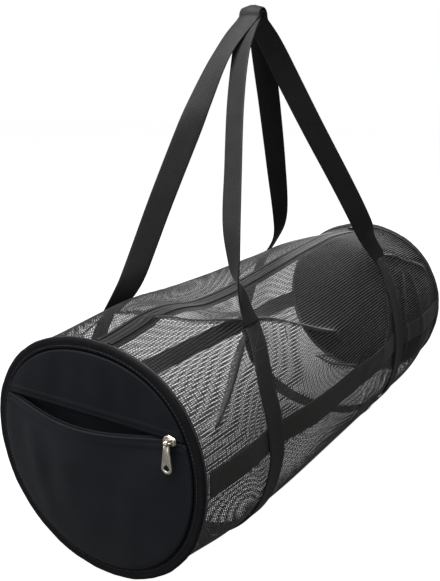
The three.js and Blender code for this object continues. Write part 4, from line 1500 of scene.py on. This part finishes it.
@dataclass
class EndPanels(Part):
    """Round cloth ends, each with a folded binding tape round its seam."""

    wall: float = 0.0015
    seam_gap: float = 0.0003
    face: float = 0.009
    lip: float = 0.008
    near_lip: float = 0.0045
    tape: float = 0.0011
    lay_gap: float = 0.0003
    pucker: float = 0.0003
    around: int = 180
    rings: int = 26
    dish: float = 0.0035
    stitch_inset: float = 0.0030
    stitch_pitch: float = 0.0036
    thread: Triple = (0.0029, 0.0006, 0.0006)
    lip_start: float = 0.0012
    lip_lift: float = 0.0004
    lip_thick: float = 0.8

    def panel(self, name: str, far: bool) -> Piece:
        """One cloth disc, the near one flat and the far one dished with soft pulls towards its rim.

        Args:
            name: the piece's name.
            far: whether it is the far end.

        Returns:
            The piece.
        """
        barrel = self.barrel
        side, face = barrel.end(far)
        angle = np.linspace(0, 360, self.around, endpoint=False)
        rim = barrel.rim_radius(angle, far) - self.seam_gap
        share = np.linspace(0, 1, self.rings)[1:, None]
        pulls = ripple(angle / 360, ((0.5, 3, 0.1), (0.4, 7, 0.3), (0.25, 13, 0.6)))
        dip = -self.dish * (1 - share**2) * (1 + 0.25 * pulls[None, :] * share)
        x = face + side * (dip if far else 0 * dip)
        turn = np.radians(angle)[None, :]
        flat = np.stack([-rim * share * np.sin(turn), rim * share * np.cos(turn)], -1)
        top = np.concatenate([x[..., None], flat + np.array([0, barrel.axis_z])], -1)
        under = top - np.array([side * self.wall, 0, 0])
        centre = np.array([[face + side * (-self.dish if far else 0), 0, barrel.axis_z]])
        hubs = [centre, centre - np.array([[side * self.wall, 0, 0]])]
        points = np.concatenate([*hubs, top.reshape(-1, 3), under.reshape(-1, 3)])
        rows = self.rings - 1
        back = rows * self.around
        upper = grid_faces(rows, self.around, False, True) + 2
        lower = upper[:, ::-1] + back
        ring = np.arange(self.around)
        following = (ring + 1) % self.around
        edge = 2 + (rows - 1) * self.around
        wall = edge + np.stack([ring, following, back + following, back + ring], -1)
        hub = np.stack([0 * ring, 2 + following, 2 + ring], -1)
        under_hub = np.stack([0 * ring + 1, 2 + back + ring, 2 + back + following], -1)
        groups = [np.concatenate([upper, lower, wall[:, ::-1]]), np.concatenate([hub, under_hub])]
        faces = facing_out(points, groups)
        return make_object(name, points, faces, points[:, 1:])

    def puckers(self, angle: Array) -> Array:
        """How far the binding stands out where its stitches draw it together unevenly."""
        waves = ((0.55, 9, 0.2), (0.5, 17, 0.7), (0.35, 31, 0.4), (0.2, 61, 0.1))
        return self.pucker * (1 + ripple(angle / 360, waves))

    def binding(self, name: str, far: bool) -> Piece:
        """Folded tape over the end seam, slightly puckered by its stitches.

        Args:
            name: the piece's name.
            far: whether it is the far end.

        Returns:
            The piece.
        """
        barrel = self.barrel
        side, face = barrel.end(far)
        angle = np.linspace(0, 360, self.around * 2, endpoint=False)
        rim = barrel.rim_radius(angle, far)
        over = np.maximum(barrel.net_radius(np.full_like(angle, face), angle), rim) + self.lay_gap
        pucker = self.puckers(angle)
        inside = rim - self.face + 0.6 * pucker
        high = self.seam_gap + self.tape
        corner = 0.8 * self.tape
        profile = (
            (self.seam_gap, inside),
            (self.seam_gap + 0.55 * self.tape, inside - 0.0003),
            (high, inside + 0.0006),
            (high + 0.3 * pucker, inside + 0.0022),
            (high - 0.0003, inside + 0.0030),
            (high + 0.0004, rim - 0.35 * self.face),
            (high + 0.0004, over - corner + pucker),
            (high - 0.2 * corner, over + self.tape - 0.35 * corner + pucker),
            (high - corner, over + self.tape + pucker),
            (-0.0004, over + self.tape + pucker),
            (-0.0010, over + 0.5 * self.tape + pucker),
            (-0.0010, over),
            (self.seam_gap, over),
            (self.seam_gap, rim - 0.3 * self.face),
        )
        rows = [barrel.polar(face + side * depth, angle, radius + 0 * angle) for depth, radius in profile]
        sections = np.stack(rows, axis=1)
        across = np.linspace(0, self.face + self.lip, len(profile))
        along = np.radians(angle) * barrel.rim
        cloth = np.stack(np.broadcast_arrays(across[None, :], along[:, None]), -1)
        return loft(name, sections, True, cloth)

    def lip_strip(self, name: str, far: bool) -> Piece:
        """Turned-under edge of the binding that lies on the net.

        Args:
            name: the piece's name.
            far: whether it is the far end.

        Returns:
            The piece.
        """
        barrel = self.barrel
        side, face = barrel.end(far)
        angle = np.linspace(0, 360, self.around * 2, endpoint=False)
        share = (EDGE.places() + 1) / 2
        lip = self.lip if far else self.near_lip
        x = (face - side * (self.lip_start + (lip - self.lip_start) * share))[None, :]
        pucker = self.puckers(angle)[:, None]
        rim = barrel.rim_radius(angle, far)[:, None] * np.where(share[None, :] < 0.3, 1, 0)
        base = np.maximum(barrel.net_radius(x, angle[:, None]), rim) + self.lip_lift
        thick = self.lip_thick * self.tape
        outer = barrel.polar(x, angle[:, None], base + thick * np.array(EDGE.top) + pucker * (1 - share))
        inner = barrel.polar(x, angle[:, None], base + thick * np.array(EDGE.under))
        return strip(name, outer, inner, True, share * self.lip, np.radians(angle) * barrel.rim)

    def build(self) -> None:
        """Both ends."""
        for end, far in (("near", False), ("far", True)):
            panel = self.panel(f"end_cloth_{end}", far)
            dress(panel, self.finishes.panel, (f"end_panel_{end}",))
            tape = self.binding(f"binding_tape_{end}", far)
            dress(tape, self.finishes.binding, (f"rim_binding_{end}",))
            lip = self.lip_strip(f"binding_lip_{end}", far)
            dress(lip, self.finishes.side, (f"rim_binding_{end}",))
            self.stitches(end, far)

    def stitches(self, end: str, far: bool) -> None:
        """Row of stitches round the binding's face.

        Args:
            end: near or far.
            far: whether it is the far end.
        """
        barrel = self.barrel
        side, face = barrel.end(far)
        angle = np.linspace(0, 360, 4 * self.around)
        out = side * (self.seam_gap + self.tape)
        line = barrel.polar(face + out, angle, barrel.rim_radius(angle, far) - self.face + self.stitch_inset)
        places, along = spaced(line, self.stitch_pitch)
        outward = np.zeros_like(places) + np.array([side, 0, 0])
        stitches = grains(f"binding_stitches_{end}", places, along, outward, self.thread)
        dress(stitches, self.finishes.stitch)


@dataclass
class EndPocket(Part):
    """Pocket over the near end: two cloth panels, the open zip between them, its slider and pull."""

    wall: float = 0.0015
    seam_gap: float = 0.0003
    lay_gap: float = 0.00075
    face: float = 0.009
    mouth_height: float = 0.043
    mouth_sag: float = 0.009
    gape: float = 0.002
    bulge: float = 0.012
    mouth_rounding: float = 1.3
    bulge_fall: float = 0.8
    tape_width: float = 0.009
    tape_thick: float = 0.001
    tape_lean: float = 0.86
    tape_end: float = 0.001
    slider_side: float = 0.086
    slider_length: float = 0.012
    steps: int = 120
    rows: int = 40
    tooth_pitch: float = 0.0017
    tooth: Triple = (0.0030, 0.0011, 0.0013)
    hem_width: float = 0.0085
    hem_thick: float = 0.0007
    seam_inset: float = 0.0030
    nip: float = 0.0004
    top_folds: float = 0.0006
    front_folds: float = 0.0011
    slack_folds: tuple[tuple[float, ...], ...] = (
        (1.6, 0.070, 0.12, 0.012), (1.0, 0.030, 0.20, 0.018), (0.8, -0.045, -0.10, 0.014)
    )
    taut_edge: float = 0.02
    seam_spread: float = 0.0007
    hem_spread: float = 0.0008

    @property
    def lift(self) -> float:
        """Distance of the panels' inner faces from the end panel."""
        return self.tape_thick + 2 * self.seam_gap

    def reach(self, angle: Array) -> Array:
        """Radius of the pocket panels' rim."""
        return self.barrel.rim_radius(angle, False) - self.face - self.lay_gap

    def corner(self, height: float, side: int) -> float:
        """Angle where a level line meets the pocket's rim.

        Args:
            height: height of the line over the barrel's axis.
            side: 1 for the front, -1 for the back.

        Returns:
            The angle, in degrees.
        """
        low, high = 0.0, 90.0
        for _ in range(40):
            middle = (low + high) / 2
            inside = self.reach(np.array(side * middle)) * math.cos(math.radians(middle)) > height
            low, high = (middle, high) if inside else (low, middle)
        return side * low

    def corner_y(self, height: float, side: int) -> float:
        """Place across the bag where a level line meets the pocket's rim."""
        angle = self.corner(height, side)
        return -float(self.reach(np.array(angle))) * math.sin(math.radians(angle))

    def mouth_open(self, y: Array) -> Array:
        """How open the mouth is.

        Args:
            y: places across the bag.

        Returns:
            0 where it is closed, 1 in the middle of the gape.
        """
        start = -self.slider_side + self.slider_length / 2
        share = (y - start) / (self.corner_y(self.mouth_height, -1) - start)
        return np.sin(math.pi * np.clip(share, 0, 1))

    def mouth_edge(self, y: Array) -> Array:
        """Height of the lower panel's edge."""
        return self.mouth_height - self.gape - self.mouth_sag * self.mouth_open(y)

    def mouth_bulge(self, y: Array) -> Array:
        """How far the lower panel's edge stands out."""
        return self.bulge * self.mouth_open(y) ** self.mouth_rounding

    def sheet(self, name: str, lower: bool) -> tuple[Piece, Pair, float]:
        """Cloth between an edge across the end and the arc below or above it.

        Args:
            name: the piece's name.
            lower: whether it is the lower panel, with the loose mouth.

        Returns:
            The piece, its width and height, and the area inside its outline, both seen along the bag's axis.
        """
        share = np.linspace(0, 1, self.steps)[:, None]
        down = np.linspace(0, 1, self.rows)[None, :] ** 1.25
        level = self.mouth_height - self.gape if lower else self.mouth_height
        start, end = self.corner(level, 1), (360 if lower else 0) + self.corner(level, -1)
        arc = start + (end - start) * share
        y_rim = -self.reach(arc) * np.sin(np.radians(arc))
        z_rim = self.reach(arc) * np.cos(np.radians(arc))
        y = y_rim[0] + (y_rim[-1] - y_rim[0]) * share
        edge = self.mouth_edge(y) if lower else self.mouth_height + 0 * y
        across = y + (y_rim - y) * down
        height = edge + (z_rim - edge) * down
        stand = self.mouth_bulge(y) * (1 - down) ** self.bulge_fall if lower else 0 * across
        from_edge = np.abs(height - edge)
        depth = self.lift + stand + self.relief(across, height, from_edge, down, lower)
        near = self.barrel.near_x
        outer = np.stack([near - depth - self.hem(from_edge), across, self.barrel.axis_z + height], -1)
        inner = np.stack([near - depth + 0 * across, across, self.barrel.axis_z + height], -1)
        if not lower:
            outer, inner = outer[:, ::-1], inner[:, ::-1]
        sections = np.concatenate([outer, inner[:, ::-1]], axis=1)
        piece = loft(name, sections, False, sections[..., 1:])
        edge_line, rim_line = (np.stack([across[:, k], height[:, k]], -1) for k in (0, -1))
        ring = np.concatenate([edge_line, rim_line[::-1]])
        following = np.roll(ring, -1, axis=0)
        area = abs(float((ring[:, 0] * following[:, 1] - following[:, 0] * ring[:, 1]).sum())) / 2
        return piece, (float(np.ptp(across)), float(np.ptp(height))), area

    def hem(self, from_edge: Array) -> Array:
        """Thickness of the cloth, folded double near the mouth and nipped by two stitch lines.

        Args:
            from_edge: distances from the mouth's edge.

        Returns:
            The thickness at each place.
        """
        fold = self.hem_thick * (1 - 1 / (1 + np.exp(-(from_edge - self.hem_width) / self.hem_spread)))
        seams = bell(from_edge - self.seam_inset, self.seam_spread)
        seams = seams + bell(from_edge - self.hem_width, self.hem_spread)
        nip = self.nip * seams
        return self.wall + fold - nip

    def relief(self, across: Array, height: Array, from_edge: Array, down: Array, lower: bool) -> Array:
        """Soft folds of a panel.

        Args:
            across: places across the bag.
            height: heights over the axis.
            from_edge: distances from the mouth's edge.
            down: shares from the edge to the rim.
            lower: whether it is the lower panel.

        Returns:
            The height of the folds, never below the flat cloth.
        """
        inside = np.sin(math.pi * np.clip(down, 0, 1)) ** 0.7
        if not lower:
            return self.top_folds * inside * (1 + ripple(across, ((0.6, 14, 0.2), (0.4, 31, 0.5))))
        folds = sum(
            high * bell(across - place - lean * height, spread)
            for high, place, lean, spread in self.slack_folds
        )
        folds = folds + 0.5 * (1 + ripple(across + 0.3 * height, ((0.6, 11, 0.1), (0.4, 23, 0.7))))
        sides = np.clip(from_edge / self.taut_edge, 0, 1)
        return self.front_folds * inside * sides * folds

    def tape(self, upper: bool) -> None:
        """One side of the pocket zip, with its row of teeth.

        Args:
            upper: whether it is the side on the upper panel.
        """
        top = self.mouth_height + self.tape_width
        start = self.corner_y(top, 1) + self.tape_end
        end = self.corner_y(top, -1) - self.tape_end
        y = np.linspace(start, end, self.steps)
        line = self.mouth_height - self.gape / 2
        stand = 0 * y if upper else self.mouth_bulge(y)
        if upper:
            low, high = line + self.seam_gap / 2 + 0 * y, line + self.tape_width + 0 * y
        else:
            high = self.mouth_edge(y) + self.gape / 2 - self.seam_gap / 2
            low = high - self.tape_width
        share = np.linspace(0, 1, 5)[None, :]
        base = self.barrel.near_x - self.seam_gap
        x = base - stand[:, None] * (self.tape_lean + (1 - self.tape_lean) * share)
        z = self.barrel.axis_z + low[:, None] + (high - low)[:, None] * share
        inner = np.stack([x, y[:, None] + 0 * x, z], -1)
        outer = inner - np.array([self.tape_thick, 0, 0])
        end = "upper" if upper else "lower"
        piece = strip(f"pocket_tape_{end}", outer, inner, False, share[0] * self.tape_width, y)
        dress(piece, self.finishes.zip_tape, (f"pocket_zip_tape_{end}",))
        toothed = outer[:, 0] if upper else outer[:, -1]
        places, along = spaced(toothed, self.tooth_pitch)
        outward = np.zeros_like(places) + np.array([-1.0, 0, 0])
        side = np.cross(along, outward)
        teeth = grains(f"pocket_teeth_{end}", places, side, outward, self.tooth)
        dress(teeth, self.finishes.zip_tape)

    def build(self) -> None:
        """The whole pocket."""
        front, flat, area = self.sheet("pocket_cloth_front", True)
        # The front panel wears the lighter copy of the pack cloth, whose extra lightness is painted light.
        # The top panel wears the plain pack cloth.
        dress(front, self.finishes.pocket, ("pocket_front",))
        top, flat, area = self.sheet("pocket_cloth_top", False)
        dress(top, self.finishes.panel, ("pocket_top",))
        self.tape(True)
        self.tape(False)
        line = self.barrel.axis_z + (self.mouth_height - self.gape) + self.gape / 2
        back = self.barrel.near_x - self.lift - self.wall - self.seam_gap
        PocketHardware(self.barrel, self.finishes, (back, -self.slider_side, line)).build()


@dataclass
class PocketHardware(Part):
    """Cast slider of the pocket zip, its bridge, and the pull that hangs from the bridge."""

    origin: Triple
    length: float = 0.012
    width: float = 0.010
    nose: float = 0.62
    thick: float = 0.003
    rise: float = 0.003
    span: float = 0.0068
    wire: float = 0.0008
    eye_radius: float = 0.00205
    eye_wall: float = 0.00052
    eye_length: float = 0.0036
    pull_length: float = 0.028
    pull_top: float = 0.0056
    pull_end: float = 0.0108
    pull_thick: float = 0.0015
    hole: float = 0.0031
    bevel: float = 0.0003
    steps: int = 64

    def place(self, right: Array, up: Array, out: Array) -> Array:
        """Points in the row frame of places seen facing the pocket."""
        right, up, out = np.broadcast_arrays(right, up, out)
        return np.stack([self.origin[0] - out, self.origin[1] - right, self.origin[2] + up], -1)

    def outline(self) -> Array:
        """Outline of the slider's plates, a round lobe that narrows to a blunt nose.

        Returns:
            The outline's points, to the right and up.
        """
        lobe = self.width / 2
        back = -self.length / 2 + lobe
        turn = np.linspace(math.pi / 2, 3 * math.pi / 2, self.steps // 2)
        tail = np.stack([back + lobe * np.cos(turn), lobe * np.sin(turn)], -1)
        down = np.linspace(-1, 1, self.steps // 2)
        front = self.length / 2 - 0.0012 * np.abs(down) ** 6
        nose = np.stack([front, lobe * self.nose * down], -1)
        return np.concatenate([tail, nose])

    def slider(self) -> None:
        """Two plates with a groove between them, and the bridge over the outer one."""
        outline = self.outline()
        layers = (
            (0.0, 0.0004), (0.0003, 0.0), (0.0009, 0.0), (0.0011, 0.0008), (0.0017, 0.0008), (0.0019, 0.0),
            (0.0026, 0.0), (0.0029, 0.0003),
            (self.thick, 0.0007),
        )
        inward = unit(outline)
        loops = [self.place(*(outline - inset * inward).T, np.array(out)) for out, inset in layers]
        body = loft("slider_plates", np.stack(loops), False)
        dress(body, self.finishes.metal, ("pocket_slider",))
        half = self.span / 2
        top = self.thick + self.rise
        climb = (
            (half, self.thick - 0.0006),
            (half, self.thick + 0.5 * self.rise),
            (0.86 * half, top - 0.0006),
            (0.62 * half, top - 0.0001),
            (0.3 * half, top),
        )
        way = np.array([(-right, out) for right, out in climb] + list(reversed(climb)))
        ahead = unit(np.gradient(way, axis=0))
        turn = np.linspace(0, 2 * math.pi, 16, endpoint=False)
        aside = self.wire * np.cos(turn)[None, :]
        right = way[:, :1] - ahead[:, 1:] * aside
        out = way[:, 1:] + ahead[:, :1] * aside
        up = 1.1 * self.wire * np.sin(turn)[None, :] + 0 * right
        bridge = loft("slider_bridge", self.place(right, up, out), False)
        dress(bridge, self.finishes.metal, ("pocket_slider",))

    def pull(self) -> None:
        """Tapered plate with a round hole, and its eye round the bridge."""
        top = self.thick + self.rise
        radius = self.pull_end / 2
        low = radius - self.pull_length
        turn = np.linspace(math.pi, 2 * math.pi, self.steps)
        foot = np.stack([radius * np.cos(turn), low + radius * np.sin(turn)], -1)
        start = -self.eye_radius
        across = np.linspace(1, -1, self.steps // 2)
        head = np.stack([self.pull_top / 2 * across, start - 0.0007 * np.abs(across) ** 4], -1)
        outline = np.concatenate([foot, head])
        away = unit(outline - np.array([0, low]))
        hole = np.array([0, low]) + self.hole * away
        half = self.pull_thick / 2
        bevel = self.bevel
        outer = ((outline - bevel * away, half), (outline, half - bevel))
        inner = ((hole + bevel * away, -half), (hole, bevel - half))
        profile = [
            (edge, side * out) for group in (outer, inner) for side in (1, -1) for edge, out in group[::side]
        ]
        sections = np.stack([self.place(*flat.T, np.array(top + out)) for flat, out in profile], axis=1)
        plate = loft("pull_plate", sections, True)
        dress(plate, self.finishes.metal, ("pocket_pull",), Body.PULL)
        turn = np.linspace(0, 2 * math.pi, self.steps, endpoint=False)[:, None]
        wall, reach = self.eye_wall, self.eye_length / 2
        corners = [(-1, -0.6), (-0.8, -1), (0.8, -1), (1, -0.6), (1, 0.6), (0.8, 1), (-0.8, 1), (-1, 0.6)]
        ring = np.array(corners) * (reach, wall)
        far = self.eye_radius + ring[None, :, 1]
        eye = self.place(ring[None, :, 0] + 0 * turn, far * np.cos(turn), top + far * np.sin(turn))
        dress(loft("pull_eye", eye, True), self.finishes.metal, ("pocket_pull",), Body.PULL)

    def build(self) -> None:
        """Slider and pull."""
        self.slider()
        self.pull()


@dataclass
class Studio:
    """Pale floor, soft lights and the camera."""

    eye: Triple = (-0.7301, -0.4249, -0.0681)
    right: Triple = (0.53877, -0.84245, 0.0)
    down: Triple = (-0.22514, -0.14398, -0.96363)
    lens: float = 46.35
    floor_drop: float = 0.012
    floor_size: float = 14.0
    floor_tone: Tone = (0.15, 0.15, 0.15)
    floor_glow: float = 0.97
    sky: float = 0.14
    aim: Triple = (0.04, 0, -0.30)
    lights: tuple[tuple[str, Triple, float, float], ...] = (
        ("key", (-0.60, 0.30, 1.35), 1.3, 75),
        ("side", (-1.2, 1.3, 0.1), 0.9, 9),
        ("low", (-1.5, 0.2, -0.46), 0.5, 3),
        ("front", (-0.9, -1.2, 0.5), 1.0, 9),
        ("end", (1.7, 0.4, 0.5), 0.9, 16),
    )

    def camera(self) -> None:
        """The camera at the photograph's angle."""
        data = bpy.data.cameras.new("camera")
        data.lens = self.lens
        data.sensor_width = 36
        data.clip_start = 0.01
        camera = bpy.data.objects.new("camera", data)
        right, down = Vector(self.right), Vector(self.down)
        forward = down.cross(right) * -1
        turn = Matrix((right, -down, -forward)).transposed()
        camera.matrix_world = Matrix.Translation(self.eye) @ turn.to_4x4()
        bpy.context.scene.collection.objects.link(camera)
        bpy.context.scene.camera = camera

    def floor(self) -> None:
        """Plain pale floor under the bag."""
        low = CAD_BOX[0][2] - self.floor_drop
        half = self.floor_size / 2
        corners = np.array([[-half, -half, low], [half, -half, low], [half, half, low], [-half, half, low]])
        floor = make_object("floor", corners, [np.array([[0, 1, 2, 3]])])
        made = Shader("floor_paper")
        made.colour(made.noise(2.0), self.floor_tone, self.floor_tone)
        made.set(Roughness=0.9, Specular_IOR_Level=0.0, Emission_Color=(1, 1, 1, 1))
        seen = made.node("ShaderNodeLightPath").outputs["Is Camera Ray"]
        made.link(made.spread(seen, 0.0, self.floor_glow), made.surface.inputs["Emission Strength"])
        floor.data.materials.append(made.material)

    def backdrop(self) -> None:
        """White world that the camera sees, dimmer as a light."""
        world = bpy.data.worlds.new("studio")
        world.use_nodes = True
        tree = world.node_tree
        seen = tree.nodes.new("ShaderNodeLightPath").outputs["Is Camera Ray"]
        strength = tree.nodes.new("ShaderNodeMapRange")
        strength.inputs["To Min"].default_value = self.sky
        tree.links.new(seen, strength.inputs["Value"])
        background = tree.nodes["Background"]
        background.inputs["Color"].default_value = (1, 1, 1, 1)
        tree.links.new(strength.outputs["Result"], background.inputs["Strength"])
        bpy.context.scene.world = world

    def light(self, name: str, place: Triple, size: float, power: float) -> None:
        """One soft light aimed at the bag.

        Args:
            name: the light's name.
            place: where it stands.
            size: its width.
            power: its strength in watts.
        """
        data = bpy.data.lights.new(name, "AREA")
        data.energy = power
        data.size = size
        thing = bpy.data.objects.new(name, data)
        thing.location = place
        aim = Vector(self.aim) - Vector(place)
        thing.rotation_euler = aim.to_track_quat("-Z", "Y").to_euler()
        bpy.context.scene.collection.objects.link(thing)

    def build(self) -> None:
        """Everything round the bag."""
        self.camera()
        self.floor()
        self.backdrop()
        for light in self.lights:
            self.light(*light)
        bpy.context.scene.view_settings.view_transform = "Standard"


def main() -> None:
    """Builds the bag and the studio."""
    logging.basicConfig(level=logging.INFO, format="%(name)s: %(message)s")
    finishes = Finishes()
    Studio().build()
    barrel = Barrel()
    for part in (NetBody, MainZip, Girths, Handles, EndPanels, EndPocket):
        part(barrel, finishes).build()


if __name__ == "__main__":
    main()
